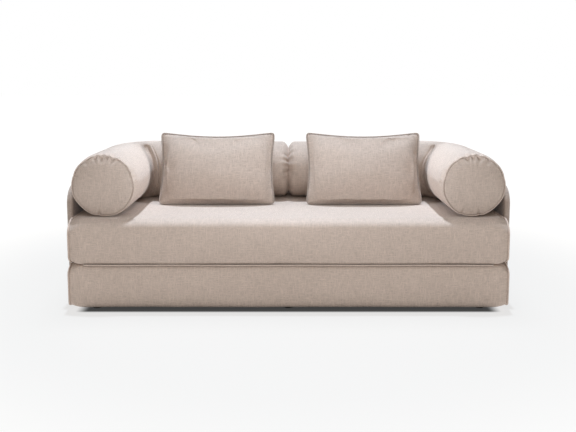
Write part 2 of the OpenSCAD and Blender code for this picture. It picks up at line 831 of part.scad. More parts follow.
function pillow_rim(cols, rows) = concat(
    [for (i = [0:cols - 1]) [i, 0]], [for (j = [0:rows - 1]) [cols, j]],
    [for (i = [0:cols - 1]) [cols - i, rows]], [for (j = [0:rows - 1]) [0, rows - j]]);

module pillow_shape(inset, cols, rows) {
    count = (cols + 1) * (rows + 1);
    rim = [for (p = pillow_rim(cols, rows)) p[0] * (rows + 1) + p[1]];
    points = [
        for (side = [-1, 1], i = [0:cols], j = [0:rows])
            pillow_point(spread(i, cols), spread(j, rows), side, inset)
    ];
    faces = [
        for (i = [0:cols - 1], j = [0:rows - 1])
            let (a = i * (rows + 1) + j, b = a + 1, d = a + rows + 1, c = d + 1)
                each [[a, b, c], [a, c, d], [count + a, count + c, count + b],
                    [count + a, count + d, count + c]]
    ];
    band = [
        for (k = [0:len(rim) - 1]) let (p = rim[k], q = rim[(k + 1) % len(rim)])
            each [[p, q, count + q], [p, count + q, count + p]]
    ];
    polyhedron(points, concat(faces, band), convexity = 4);
}

// Centre line of a pillow's piping, just outside its seam
rim_plan = [
    for (p = pillow_rim(pillow_cols, pillow_rows))
        pillow_plan(spread(p[0], pillow_cols), spread(p[1], pillow_rows))
];

function rim_out(k) = let (
    n = len(rim_plan),
    t = rim_plan[(k + 1) % n] - rim_plan[(k + n - 1) % n])
    [t[1], -t[0]] / norm(t);

module pillow_piping_shape() {
    rings = [
        for (k = [0:len(rim_plan) - 1]) let (
            out = rim_out(k),
            centre = rim_plan[k] + out * (welt_r + rest_clear))
            [for (i = [0:welt_sides - 1]) let (a = 360 * i / welt_sides)
                [centre[0] + out[0] * welt_r * cos(a), welt_r * sin(a),
                    centre[1] + out[1] * welt_r * cos(a)]]
    ];
    closed_loft(rings);
}

// Where a leaning pillow meets the seat and the roll behind it
function leaned(p) = [
    p[0], p[1] * cos(pillow_lean) + p[2] * sin(pillow_lean),
    p[2] * cos(pillow_lean) - p[1] * sin(pillow_lean)
];

pillow_z = roll_foot - min([
    for (k = [0:len(rim_plan) - 1])
        (rim_plan[k][1] - welt_r - rest_clear) * cos(pillow_lean) - welt_r
]);

function roll_face(z) = let (rise = z - roll_z)
    roll_y - sqrt(max(0, roll_r * roll_r - rise * rise));

pillow_y = min([
    for (i = [0:pillow_cols], j = [0:pillow_rows])
        let (p = leaned(pillow_point(spread(i, pillow_cols), spread(j, pillow_rows), 1, 0)))
            roll_face(pillow_z + p[2]) - p[1]
]) - rest_clear;

module at_pillow(x) {
    translate([x, pillow_y, pillow_z]) rotate([-pillow_lean, 0, 0]) children();
}

module pillow_cover_at(x)
    at_pillow(x) difference() {
        pillow_shape(0, pillow_cols, pillow_rows);
        pillow_shape(pillow_pad, core_cols, core_rows);
    }

module left_pillow_filling() color(foam_tint)
    at_pillow(pillow_left_x) pillow_shape(pillow_pad + fit_clear, core_cols, core_rows);

module left_pillow_cover() color(cloth) pillow_cover_at(pillow_left_x);

module left_pillow_piping() color(cloth_edge) at_pillow(pillow_left_x) pillow_piping_shape();

module right_pillow_filling() color(foam_tint)
    at_pillow(pillow_right_x) pillow_shape(pillow_pad + fit_clear, core_cols, core_rows);

module right_pillow_cover() color(cloth) pillow_cover_at(pillow_right_x);

module right_pillow_piping() color(cloth_edge) at_pillow(pillow_right_x) pillow_piping_shape();

glides();
glide_screws();
front_rail();
back_rail();
left_rail();
right_rail();
cross_rails();
corner_blocks();
deck();
deck_screws();
lower_foam();
lower_cover();
lower_piping();
fold_bead();
lower_hinge_tape();
left_board();
left_panel_cover();
right_board();
right_panel_cover();
back_board();
back_panel_cover();
panel_bolts();
tee_nuts();
upper_foam();
upper_cover();
upper_piping();
upper_hinge_tape();
upper_zip();
left_roll_core();
left_roll_cover();
left_roll_piping();
left_roll_zip();
right_roll_core();
right_roll_cover();
right_roll_piping();
right_roll_zip();
left_pillow_filling();
left_pillow_cover();
left_pillow_piping();
right_pillow_filling();
right_pillow_cover();
right_pillow_piping();
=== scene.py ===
import math
import time
import bmesh
import bpy
import numpy as np
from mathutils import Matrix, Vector


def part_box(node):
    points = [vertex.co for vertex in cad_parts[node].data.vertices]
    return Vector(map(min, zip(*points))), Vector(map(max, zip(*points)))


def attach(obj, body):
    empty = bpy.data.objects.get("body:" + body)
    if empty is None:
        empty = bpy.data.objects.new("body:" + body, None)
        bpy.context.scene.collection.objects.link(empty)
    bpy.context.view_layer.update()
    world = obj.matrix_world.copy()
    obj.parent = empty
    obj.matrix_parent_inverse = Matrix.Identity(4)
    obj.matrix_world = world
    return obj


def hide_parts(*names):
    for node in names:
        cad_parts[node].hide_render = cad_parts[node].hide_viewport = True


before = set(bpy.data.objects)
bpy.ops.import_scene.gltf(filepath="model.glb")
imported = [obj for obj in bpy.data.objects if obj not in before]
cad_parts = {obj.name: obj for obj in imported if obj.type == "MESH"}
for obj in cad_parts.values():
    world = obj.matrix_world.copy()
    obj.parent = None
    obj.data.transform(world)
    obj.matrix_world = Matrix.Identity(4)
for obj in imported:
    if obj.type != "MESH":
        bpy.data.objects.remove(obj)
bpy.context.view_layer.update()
scene = bpy.context.scene


def setAll(target, **values):
    for key, value in values.items():
        setattr(target, key, value)


def addObject(name, data, at=(0, 0, 0)):
    made = bpy.data.objects.new(name, data)
    made.location = at
    scene.collection.objects.link(made)
    return made


# Camera: straight on, a little above the pillows, some way back
cameraView = dict(at=(-0.0022, -3.5351, 1.0765), tiltDown=7.0, lens=43.822, sensor=36, shiftUp=-0.0974,
                  farthest=60)


def addCamera(view):
    data = bpy.data.cameras.new("camera")
    setAll(data, lens=view["lens"], sensor_width=view["sensor"], shift_y=view["shiftUp"],
           clip_end=view["farthest"])
    camera = addObject("camera", data, view["at"])
    camera.rotation_euler = (math.radians(90 - view["tiltDown"]), 0, 0)
    scene.camera = camera


addCamera(cameraView)
print("camera placed")


# An input given as a socket is linked, and any other is set as a value
def feed(tree, node, inputs):
    for key, value in inputs.items():
        if isinstance(value, bpy.types.NodeSocket):
            tree.links.new(value, node.inputs[key])
        else:
            node.inputs[key].default_value = value


# Adds a shader or geometry node
def wire(tree, kind, inputs=None, **settings):
    node = tree.nodes.new(kind)
    setAll(node, **settings)
    feed(tree, node, inputs or {})
    return node


def reckon(tree, how, a, b=0.0, clamp=False):
    return wire(tree, "ShaderNodeMath", {0: a, 1: b}, operation=how, use_clamp=clamp).outputs[0]


def product(tree, *values):
    made = values[0]
    for value in values[1:]:
        made = reckon(tree, "MULTIPLY", made, value)
    return made


# The first value by its share, and the second by the rest
def inShares(tree, a, b, share):
    return reckon(tree, "ADD", product(tree, a, share), product(tree, b, 1 - share))


# A value that runs from 0 to 1 between two places
def ease(tree, value, start, end, how="SMOOTHSTEP"):
    return wire(tree, "ShaderNodeMapRange", {"Value": value, "From Min": start, "From Max": end},
                interpolation_type=how).outputs[0]


def noise(tree, place, scale, detail, **more):
    return wire(tree, "ShaderNodeTexNoise", {"Vector": place, "Scale": scale, "Detail": detail,
                                            **more}).outputs["Fac"]


def mixTones(tree, factor, a, b):
    ends = [tone if isinstance(tone, bpy.types.NodeSocket) else (*tone, 1) for tone in (a, b)]
    return wire(tree, "ShaderNodeMix", {"Factor": factor, "A": ends[0], "B": ends[1]},
                data_type="RGBA").outputs["Result"]


# A node group; each socket is given as its kind and, where it has one, its value
def newGroup(name, kind, inputs, outputs):
    group = bpy.data.node_groups.new(name, kind + "NodeTree")
    for way, sockets in (("INPUT", inputs), ("OUTPUT", outputs)):
        for key, (form, *value) in sockets.items():
            made = group.interface.new_socket(name=key, in_out=way, socket_type="NodeSocket" + form)
            if value:
                made.default_value = value[0]
    return group


def newMaterial(name):
    material = bpy.data.materials.new(name)
    material.use_nodes = True
    return material, material.node_tree, material.node_tree.nodes["Principled BSDF"]


# Studio: a pale floor, a hard light from above and a little behind, and soft light from all round
studio = dict(
    # the floor's glow is painted light, dimmer near the object than far from it
    floorHalf=30.0, floorTone=(0.125, 0.116, 0.106), floorGlow=(0.745, 0.745, 0.745),
    farGlow=(0.90, 0.89, 0.88), far=(1.2, 2.6), floorRough=0.6, floorGloss=0.1,
    # painted shade on the floor: its strength, and where it starts and is full, by y and by the way from the
    # middle
    paintedShades=((0.93, (-0.464, -0.436), (0.985, 0.915)), (0.06, (-0.752, -0.432), (1.235, 0.885))),
    paintedShadeBack=(0.48, 0.38), skyTone=(1.0, 0.945, 0.86), skyLight=0.235,
    top=dict(kind="SUN", at=(0, 0, 4), aim=(0, -0.96031, 0), energy=2.95, color=(0.85, 1.0, 1.17),
             angle=math.radians(2.5)),
    front=dict(kind="AREA", at=(0, -4.2, 2.3), aim=(0, 0, 0.45), energy=29.0, color=(1.0, 0.94, 0.875),
               size=2.4),
    fill=dict(kind="AREA", at=(0, -0.9, 3.2), aim=(0, 0, 0.45), energy=22.0, color=(0.93, 1.0, 1.08),
              size=2.2),
    # one from each side, for the inner flank of the arm opposite
    side=dict(kind="SPOT", at=(3.0, -2.0, 1.5), aim=(-0.76, 0, 0.66), energy=600.0, color=(0.93, 1.0, 1.08),
              shadow_soft_size=0.35, spot_size=math.radians(12.5), spot_blend=0.8),
)


# The floor has painted shade in its colour and its glow where it meets the object; its glow is painted light,
# brighter far from it
def floorPaper(look):
    material, tree, shader = newMaterial("studioPaper")
    place = wire(tree, "ShaderNodeTexCoord").outputs["Object"]
    split = wire(tree, "ShaderNodeSeparateXYZ", {0: place})
    side, y = reckon(tree, "ABSOLUTE", split.outputs[0]), split.outputs[1]
    paintedShades = [product(tree, strength, ease(tree, y, *front), ease(tree, side, *end))
              for strength, front, end in look["paintedShades"]]
    dark = product(tree, reckon(tree, "MAXIMUM", *paintedShades), ease(tree, y, *look["paintedShadeBack"]))
    away = wire(tree, "ShaderNodeVectorMath", {0: place}, operation="LENGTH").outputs["Value"]
    glow = mixTones(tree, ease(tree, away, *look["far"]), look["floorGlow"], look["farGlow"])
    feed(tree, shader, {
        "Base Color": mixTones(tree, dark, look["floorTone"], (0, 0, 0)),
        "Emission Color": mixTones(tree, dark, glow, (0, 0, 0)), "Emission Strength": 1.0,
        "Roughness": look["floorRough"], "Specular IOR Level": look["floorGloss"]})
    return material


def addLight(name, kind, at, aim, **values):
    light = bpy.data.lights.new(name, kind)
    setAll(light, **values)
    lamp = addObject(name, light, at)
    lamp.rotation_euler = (Vector(aim) - Vector(at)).to_track_quat("-Z", "Y").to_euler()


def addStudio(look):
    half = look["floorHalf"]
    mesh = bpy.data.meshes.new("studioFloor")
    edge = [(x * half, y * half, 0) for x, y in ((-1, -1), (1, -1), (1, 1), (-1, 1))]
    mesh.from_pydata(edge, [], [(0, 1, 2, 3)])
    mesh.materials.append(floorPaper(look))
    addObject("studioFloor", mesh)

    scene.world = bpy.data.worlds.new("studioSky")
    scene.world.use_nodes = True
    tree = scene.world.node_tree
    tree.nodes.clear()
    lit = wire(tree, "ShaderNodeBackground", {"Color": (*look["skyTone"], 1), "Strength": look["skyLight"]})
    seen = wire(tree, "ShaderNodeBackground", {"Color": (1, 1, 1, 1)})
    path = wire(tree, "ShaderNodeLightPath")
    mix = wire(tree, "ShaderNodeMixShader", {"Fac": path.outputs["Is Camera Ray"], 1: lit.outputs[0],
                                             2: seen.outputs[0]})
    wire(tree, "ShaderNodeOutputWorld", {"Surface": mix.outputs[0]})

    addLight("topLight", **look["top"])
    addLight("frontLight", **look["front"])
    addLight("topFill", **look["fill"])
    for name, side in (("leftLight", -1), ("rightLight", 1)):
        across = {key: (side * look["side"][key][0], *look["side"][key][1:]) for key in ("at", "aim")}
        addLight(name, **{**look["side"], **across})


addStudio(studio)
scene.view_settings.view_transform = "Standard"
print("studio built")


def smoothStep(t):
    t = np.clip(t, 0, 1)
    return t * t * (3 - 2 * t)


# The way along a path up to each of its points
def wayAlong(path):
    return np.r_[0, np.cumsum(np.linalg.norm(np.diff(path, axis=0), axis=1))]


# Flat cloth coordinates for a grid, from one row of values for each direction
def flatGrid(along, across):
    return np.stack(np.broadcast_arrays(along, across), -1)


def evenly(path, count):
    steps = wayAlong(path)
    at = np.linspace(0, steps[-1], count, endpoint=False)
    return np.stack([np.interp(at, steps, path[:, c]) for c in range(path.shape[1])], -1)


# Closed outline in (y, z), four sides from the front foot corner: foot, back, top, front
def outline(low, high, radii, counts):
    arcs, half = [], 8      # points of a corner up to its middle
    for k, (atHighY, atHighZ) in enumerate(((0, 0), (1, 0), (1, 1), (0, 1))):
        ry, rz = radii[k]
        cy = high[0] - ry if atHighY else low[0] + ry
        cz = high[1] - rz if atHighZ else low[1] + rz
        a = np.radians(180 + 90 * k + np.linspace(0, 90, 2 * half + 1))
        arcs.append(np.stack([cy + ry * np.cos(a), cz + rz * np.sin(a)], -1))
    sides = [np.vstack([arcs[k][half:], arcs[(k + 1) % 4][:half + 1]]) for k in range(4)]
    return np.vstack([evenly(side, n) for side, n in zip(sides, counts)])


# Fills a closed ring with an even grid, for an end face; counts are the ring's points on each side
def fillRing(ring, counts):
    a, b = counts[0], counts[1]
    foot, back, top = ring[:a + 1], ring[a:a + b + 1], ring[a + b:2 * a + b + 1][::-1]
    front = np.vstack([ring[2 * a + b:], ring[:1]])[::-1]
    s = np.linspace(0, 1, a + 1)[:, None, None]
    t = np.linspace(0, 1, b + 1)[None, :, None]
    return ((1 - t) * foot[:, None] + t * top[:, None] + (1 - s) * front[None] + s * back[None]
            - (1 - s) * (1 - t) * foot[0] - s * (1 - t) * foot[-1] - (1 - s) * t * top[0] - s * t * top[-1])


# Values from -1 to 1 along both sides of a grid
def spans(grid):
    return np.linspace(-1, 1, grid.shape[0])[:, None], np.linspace(-1, 1, grid.shape[1])[None]


def closeRings(rings):
    return np.array([np.vstack([ring, ring[:1]]) for ring in rings])


# One closed mesh from grids of points, each with its own flat cloth coordinates in metres; a whole number
# added to these keeps the weave of one part apart from the next
def meshFromGrids(name, grids, weld=3e-5):
    points, quads, cloth, count = [], [], [], 0
    for grid, flat in grids:
        n, m = grid.shape[:2]
        index = count + np.arange(n * m).reshape(n, m)
        around = index[:-1, :-1], index[1:, :-1], index[1:, 1:], index[:-1, 1:]
        quads.append(np.stack(around, -1).reshape(-1, 4))
        points.append(grid.reshape(-1, 3))
        cloth.append(flat.reshape(-1, 2))
        count += n * m
    points, quads, cloth = np.vstack(points), np.vstack(quads), np.vstack(cloth)
    mesh = bpy.data.meshes.new(name)
    mesh.from_pydata(points.tolist(), [], quads.tolist())
    flat = cloth[quads.reshape(-1)].astype(np.float32).ravel()
    mesh.uv_layers.new(name="cloth").data.foreach_set("uv", flat)
    form = bmesh.new()
    form.from_mesh(mesh)
    bmesh.ops.remove_doubles(form, verts=form.verts, dist=weld)
    bmesh.ops.dissolve_degenerate(form, edges=form.edges, dist=1e-6)
    bmesh.ops.recalc_face_normals(form, faces=form.faces)
    for face in form.faces:
        face.smooth = True
    form.to_mesh(mesh)
    form.free()
    return addObject(name, mesh)


def joinPieces(name, pieces):
    form = bmesh.new()
    for piece in pieces:
        form.from_mesh(piece.data)
    mesh = bpy.data.meshes.new(name)
    form.to_mesh(mesh)
    form.free()
    for piece in pieces:
        old = piece.data
        bpy.data.objects.remove(piece)
        bpy.data.meshes.remove(old)
    return addObject(name, mesh)


def vectors(items, key="co"):
    values = np.empty(len(items) * 3, np.float32)
    items.foreach_get(key, values)
    return values.reshape(-1, 3).astype(float)


def corners(piece):
    return vectors(piece.data.vertices)


def setCorners(piece, co):
    piece.data.vertices.foreach_set("co", co.astype(np.float32).ravel())
    piece.data.update()


# The mesh that a piece's modifiers make
def meshMade(piece):
    graph = bpy.context.evaluated_depsgraph_get()
    return bpy.data.meshes.new_from_object(piece.evaluated_get(graph), preserve_all_data_layers=True,
                                           depsgraph=graph)


# Gives a piece its material and the body it rides on, and hides the CAD nodes that it stands for; its slot is
# not used
def fitOut(piece, material, body, slot, *stands):
    if material:
        piece.data.materials.clear()
        piece.data.materials.append(material)
    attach(piece, body)
    if stands:
        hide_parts(*stands)
    return piece


# what all simulated pieces share
clothRun = dict(quality=5, mass=0.2, air_damping=2, tension_damping=8, compression_damping=8,
                use_pressure=True)


# Blows a sewn form up a little as cloth, with its seams held, and caps how far a point may move
def settle(piece, soft, held=None):
    start = corners(piece)
    clock = time.time()
    cloth = piece.modifiers.new("cloth", "CLOTH")
    fabric = cloth.settings
    if held is not None:
        group = piece.vertex_groups.new(name="held")
        for level in np.unique(held[held > 0]):
            group.add(np.nonzero(held == level)[0].tolist(), float(level), "REPLACE")
        fabric.vertex_group_mass = "held"
    setAll(fabric, **clothRun, tension_stiffness=soft["tension"], compression_stiffness=soft["tension"],
           shear_stiffness=soft["shear"], bending_stiffness=soft["bending"],
           uniform_pressure_force=soft["pressure"], shrink_min=soft.get("shrink", 0.0))
    fabric.effector_weights.gravity = 0
    cloth.collision_settings.use_collision = False
    cloth.point_cache.frame_start, cloth.point_cache.frame_end = 1, soft["frames"]
    for moment in range(1, soft["frames"] + 1):
        scene.frame_set(moment)
    shown = piece.evaluated_get(bpy.context.evaluated_depsgraph_get())
    moved = vectors(shown.data.vertices) - start
    far = np.linalg.norm(moved, axis=1)[:, None]
    piece.modifiers.remove(cloth)
    piece.vertex_groups.clear()
    scene.frame_set(1)
    if "cap" in soft:
        moved *= soft["cap"] * np.tanh(far / soft["cap"]) / np.maximum(far, 1e-9)
    print("settled %s in %.1f s, moved up to %.1f mm" % (piece.name, time.time() - clock, far.max() * 1000))
    return start + moved


# Smooths a settled form once; also gives where its points would lie had the cloth not moved
def refine(piece, before):
    mesh = piece.data
    kept = mesh.attributes.new("before", "FLOAT_VECTOR", "POINT")
    kept.data.foreach_set("vector", before.astype(np.float32).ravel())
    finer = piece.modifiers.new("finer", "SUBSURF")
    finer.levels = finer.render_levels = 1
    smooth = meshMade(piece)
    piece.modifiers.remove(finer)
    piece.data = smooth
    bpy.data.meshes.remove(mesh)
    before = vectors(smooth.attributes["before"].data, "vector")
    smooth.attributes.remove(smooth.attributes["before"])
    return before


# A round tube along a path, with cloth coordinates along and round it
def tube(name, path, radius, sides=10, closed=True, up=(0, 0, 1)):
    path = np.asarray(path, float)
    ahead = np.roll(path, -1, 0) - np.roll(path, 1, 0) if closed else np.gradient(path, axis=0)
    ahead /= np.linalg.norm(ahead, axis=1)[:, None]
    side = np.cross(ahead, np.asarray(up, float))
    side /= np.linalg.norm(side, axis=1)[:, None]
    lift = np.cross(side, ahead)
    a = np.linspace(0, 2 * math.pi, sides + 1)
    grid = path[:, None] + radius * (side[:, None] * np.cos(a)[None, :, None]
                                     + lift[:, None] * np.sin(a)[None, :, None])
    along = wayAlong(path)
    if closed:
        grid = np.vstack([grid, grid[:1]])
        along = np.r_[along, along[-1] + np.linalg.norm(path[0] - path[-1])]
    flat = flatGrid(along[:, None], (a * radius)[None])
    grids = [(grid, flat)]
    if not closed:
        for end in (0, -1):
            cap = np.stack([grid[end], np.repeat(path[end][None], sides + 1, 0)])
            grids.append((cap, np.stack([flat[end], flat[end] * 0.98])))
    return meshFromGrids(name, grids)


# Sewn-in gathers: narrow folds at places round a seam, as a value at each angle
def gathers(angle, folds):
    value = np.zeros_like(angle)
    for place, size, width in folds:
        away = np.abs((angle - math.radians(place) + math.pi) % (2 * math.pi) - math.pi)
        value = np.maximum(value, size * np.exp(-(away / math.radians(width)) ** 2))
    return value


def scatteredFolds(seed, count, width):
    draw = np.random.default_rng(seed)
    return [(draw.uniform(0, 360), draw.uniform(0.35, 1), width * draw.uniform(0.6, 1.5))
            for _ in range(count)]


# Cloth: one woven group for every fabric, read from the flat cloth coordinates
weaveLook = dict(
    # turns a metre across and along the yarn, and a seed, for the yarns of each direction
    fine=((520.0, 55.0, 0.7), (480.0, 50.0, 3.1)), broad=((230.0, 30.0, 5.3), (210.0, 27.0, 8.9)),
    fineShare=0.45, fleck=230.0, spread=(0.40, 0.66), overUnder=0.35,
)


def weaveGroup(look):
    group = newGroup("clothWeave", "Shader",
                     dict(Flat=["Vector"], Thread=["Float", 0.0016], Slub=["Float", 0.5]),
                     dict(Melange=["Float"], Height=["Float"]))
    given = wire(group, "NodeGroupInput")
    split = wire(group, "ShaderNodeSeparateXYZ", {0: given.outputs["Flat"]})
    turns = reckon(group, "DIVIDE", math.pi, given.outputs["Thread"])
    over = product(group, *(reckon(group, "SINE", product(group, split.outputs[k], turns)) for k in (0, 1)))

    # yarn of uneven thickness: noise drawn out along each direction
    def yarns(sizes):
        made = []
        for turned, (across, along, seed) in enumerate(sizes):
            a, b = (along, across) if turned else (across, along)
            place = wire(group, "ShaderNodeCombineXYZ", {0: product(group, split.outputs[0], a),
                                                         1: product(group, split.outputs[1], b), 2: seed})
            made.append(noise(group, place.outputs[0], 1.0, 2.0, Roughness=0.6))
        return reckon(group, "MAXIMUM", *made)

    fleck = noise(group, given.outputs["Flat"], look["fleck"], 2.0, Roughness=0.7)
    streaks = inShares(group, yarns(look["fine"]), yarns(look["broad"]), look["fineShare"])
    blend = wire(group, "ShaderNodeMix", {"Factor": given.outputs["Slub"], "A": fleck, "B": streaks},
                 data_type="FLOAT").outputs[0]
    spread = ease(group, blend, *look["spread"], how="LINEAR")
    height = reckon(group, "ADD", product(group, over, look["overUnder"]), blend)
    wire(group, "NodeGroupOutput", {"Melange": spread, "Height": height})
    return group


weave = weaveGroup(weaveLook)
clothLook = dict(light=(0.703, 0.577, 0.500), dark=(0.462, 0.376, 0.323), rough=0.93, sheen=0.25,
                 sheenRough=0.45, gloss=0.2, bump=0.0011, bumpStrength=0.6, patches=6.0, patchy=0.30)


def clothMaterial(name, tone=1.0, contrast=1.0, thread=0.0016, slub=0.8, turn=0.0):
    look = clothLook
    material, tree, shader = newMaterial(name)
    flat = wire(tree, "ShaderNodeUVMap", uv_map="cloth").outputs[0]
    turned = wire(tree, "ShaderNodeMapping", {"Vector": flat, "Rotation": (0, 0, turn)}).outputs[0]
    woven = wire(tree, "ShaderNodeGroup", {"Flat": turned, "Thread": thread, "Slub": slub},
                 node_tree=weave)
    broad = noise(tree, turned, look["patches"], 2.0)
    patchy = product(tree, reckon(tree, "SUBTRACT", broad, 0.5), look["patchy"])
    mixed = reckon(tree, "ADD", woven.outputs["Melange"], patchy, clamp=True)
    ends = np.array((look["dark"], look["light"]))
    ends = (ends.mean(0) + (ends - ends.mean(0)) * contrast) * tone
    bump = wire(tree, "ShaderNodeBump", {"Height": woven.outputs["Height"], "Strength": look["bumpStrength"],
                                         "Distance": look["bump"]})
    feed(tree, shader, {
        "Base Color": mixTones(tree, mixed, *ends.tolist()), "Normal": bump.outputs[0],
        "Roughness": look["rough"], "Sheen Weight": look["sheen"], "Sheen Roughness": look["sheenRough"],
        "Specular IOR Level": look["gloss"]})
    return material


# The tones stand for light: the base cloth and the layers' piping are lighter, painted light; the panel, disc
# and pillow cloths and the pillow's piping are darker, painted shade
seatCloth = clothMaterial("seatCloth")
baseCloth = clothMaterial("baseCloth", tone=1.07)
panelCloth = clothMaterial("panelCloth", tone=0.80)
rollCloth = clothMaterial("rollCloth", tone=1.02)
discCloth = clothMaterial("discCloth", tone=0.87)
pillowCloth = clothMaterial("pillowCloth", tone=0.86, contrast=1.1)
layerEdge, discEdge, pillowEdge = (clothMaterial(name + "EdgeCloth", tone=tone, thread=0.0014, turn=0.785)
                                   for name, tone in (("layer", 1.16), ("disc", 0.96), ("pillow", 0.70)))
print("cloth mixed")


# Seat layers: foam boxes whose ends are drawn in by a piped seam
upperLayer = dict(
    name="upperPad", node="upper_cover", foam="upper_foam", body="upper_layer", slot="seat_cloth",
    # rounding of the long edges and of the ends: run and drop
    head=(0.060, 0.034), footRound=0.003, endHead=(0.090, 0.072), endFoot=(0.060, 0.036), easeRun=0.045,
    swell=0.003, seamIn=0.009, groove=0.006, grooveRun=0.0035, step=0.004, drawRun=0.070, cornerRun=0.045,
    counts=(40, 14, 40, 14), acrossStep=0.024,
    seamSteps=(0, 0.002, 0.0045, 0.008, 0.013, 0.020, 0.028, 0.037, 0.047, 0.058),
    endDome=0.85, held=0.012, hang=None,
    wave=0.00096, waveRun=0.05, waveEase=0.03, waveEnd=0.94, waveEndEase=0.06,
    endSwell=0.007, endRun=0.11, endEase=0.10, freeRun=0.105, freeEase=0.04,
    soft=dict(pressure=1.5, frames=10, cap=0.0015, tension=60, shear=20, bending=1.0, shrink=-0.006),
)
lowerLayer = dict(
    upperLayer, name="lowerPad", node="lower_cover", foam="lower_foam", body="base", slot="base_cloth",
    head=(0.012, 0.012), footRound=0.008, endHead=(0.090, 0.046), endFoot=(0.045, 0.022),
    # the front's lower edge sags: how far, where and over how much
    hang=dict(drop=0.0055, at=0.004, run=0.016, rise=0.012, zone=0.03, endIn=0.02, ease=0.06),
)


def layerRings(spec, low, high):
    front, back = low[1] + spec["swell"], high[1]
    half = (high[0] - low[0]) / 2
    seam, groove, step = spec["seamIn"], spec["groove"], spec["step"]
    middle, tall = (low[2] + high[2]) / 2, (high[2] - low[2]) / 2

    def ring(x, inset, share, swell):
        near = smoothStep((half - abs(x) - seam) / spec["cornerRun"])
        head = [max(0.001, end + (full - end) * share - inset)
                for end, full in zip(spec["endHead"], spec["head"])]
        foot = [max(0.001, end + (spec["footRound"] - end) * near - inset) for end in spec["endFoot"]]
        flat = outline((front + inset, low[2] + inset), (back - inset, high[2] - inset),
                       (foot, foot, head, head), spec["counts"])
        out = swell * (1 - ((flat[:, 1] - middle) / tall) ** 2)
        y = flat[:, 0] - np.where(flat[:, 0] < (front + back) / 2, out, 0)
        return np.stack([np.full(len(flat), x), y, flat[:, 1]], -1)

    # into the groove at the seam: way from the end, and depth in grooves
    inner = ((seam - 0.002, 0.92), (seam - 0.0045, 1.02), (0.0062, 1.35), (0.0052, 1.9), (0.0042, 2.8))
    run = spec["drawRun"]
    drawn = [(seam + d, step * (1 - d / run) ** 2 + groove * math.exp(-(d / spec["grooveRun"]) ** 1.5),
              smoothStep(d / spec["easeRun"])) for d in spec["seamSteps"]]
    count = int((half - seam - run) / spec["acrossStep"])
    plain = [(d, 0.0, 1.0) for d in np.linspace(seam + run, half, count)]
    side = [ring(half - d, inset, share, spec["swell"] * share) for d, inset, share in drawn + plain]
    left = [ring * np.array([-1, 1, 1]) for ring in side]
    body = left[:-1] + [side[-1] * np.array([0, 1, 1])] + side[:-1][::-1]
    ends = [[body[at]] + [ring(sign * (half - d), step + groove * deep, 0, 0) for d, deep in inner]
            for sign, at in ((-1, 0), (1, -1))]
    return body, ends


# The ends swell a little sideways in front of the side panels
def swellEnds(spec, co):
    low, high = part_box(spec["node"])
    aside = smoothStep((np.abs(co[:, 0]) - high[0] + spec["endRun"]) / spec["endEase"])
    forward = smoothStep((low[1] + spec["freeRun"] - co[:, 1]) / spec["freeEase"])
    co[:, 0] += np.sign(co[:, 0]) * spec["endSwell"] * aside * forward
    return co


def makeLayer(spec, material):
    low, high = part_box(spec["node"])
    half = (high[0] - low[0]) / 2
    body, ends = layerRings(spec, low, high)
    grid = closeRings(body)
    grids = [(grid, flatGrid(grid[:, :1, 0], wayAlong(grid[len(grid) // 2])[None]))]
    for rings, sign in zip(ends, (-1, 1)):
        rim, cap, edge = closeRings(rings), fillRing(rings[-1], spec["counts"]), rings[-1][0, 0]
        s, t = spans(cap)
        cap[..., 0] = edge + sign * (half - abs(edge)) * spec["endDome"] * (1 - np.abs(s) ** 4) * (1 - t ** 2)
        grids += [(rim, rim[..., 1:] + 3.0), (cap, cap[..., 1:] + 3.0)]
    piece = meshFromGrids(spec["name"], grids)
    start = corners(piece)
    held = (half - np.abs(start[:, 0]) < spec["seamIn"] + spec["held"]) | (start[:, 1] > high[1] - 0.001)
    setCorners(piece, settle(piece, spec["soft"], np.where(held | (start[:, 2] < low[2] + 0.001), 1.0, 0.0)))
    refine(piece, start)
    co = corners(piece)
    x, y, z = co.T
    # slight waves of several lengths on the front
    wave = np.sin(x * 7.3 + z * 11) + 0.6 * np.sin(x * 17.9 + 1.3) + 0.4 * np.sin(x * 31.7 + y * 9)
    onFront = smoothStep((low[1] + spec["waveRun"] - y) / spec["waveEase"])
    onFront *= smoothStep((spec["waveEnd"] - np.abs(x)) / spec["waveEndEase"])
    co[:, 1] += spec["wave"] * wave * onFront
    co = np.clip(co, low, high)
    hang = spec["hang"]
    if hang:
        inEnd, inFront, rise = half - hang["endIn"] - np.abs(co[:, 0]), co[:, 1] - low[1], co[:, 2] - low[2]
        edge = (inFront < hang["zone"]) & (rise < hang["zone"]) & (inEnd > 0)
        drop = np.exp(-((inFront - hang["at"]) / hang["run"]) ** 2 - (rise / hang["rise"]) ** 2)
        co[edge, 2] -= (hang["drop"] * drop * smoothStep(inEnd / hang["ease"]))[edge]
    setCorners(piece, swellEnds(spec, co))
    fitOut(piece, material, spec["body"], spec["slot"], spec["node"], spec["foam"])


def makeLayerPiping(spec, name, node, material, radius=0.0035):
    low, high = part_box(spec["node"])
    front, back = low[1] + spec["swell"], high[1]
    inset = spec["step"] + spec["groove"] - (radius + 0.0003) * math.sqrt(2)
    head, foot = ([value - inset for value in spec[key]] for key in ("endHead", "endFoot"))
    flat = outline((front + inset, low[2] + inset), (back - inset, high[2] - inset),
                   (foot, foot, head, head), (160, 40, 160, 40))
    end = (high[0] - low[0]) / 2 - spec["seamIn"]
    piece = joinPieces(name, [tube(name, np.c_[np.full(len(flat), x), flat], radius, up=(1, 0, 0))
                              for x in (-end, end)])
    setCorners(piece, swellEnds(spec, corners(piece)))
    fitOut(piece, material, spec["body"], "piping_cloth", node)


for spec, material, level in ((lowerLayer, baseCloth, "lower"), (upperLayer, seatCloth, "upper")):
    makeLayer(spec, material)
    makeLayerPiping(spec, level + "Piping", level + "_piping", layerEdge)
print("layers made")


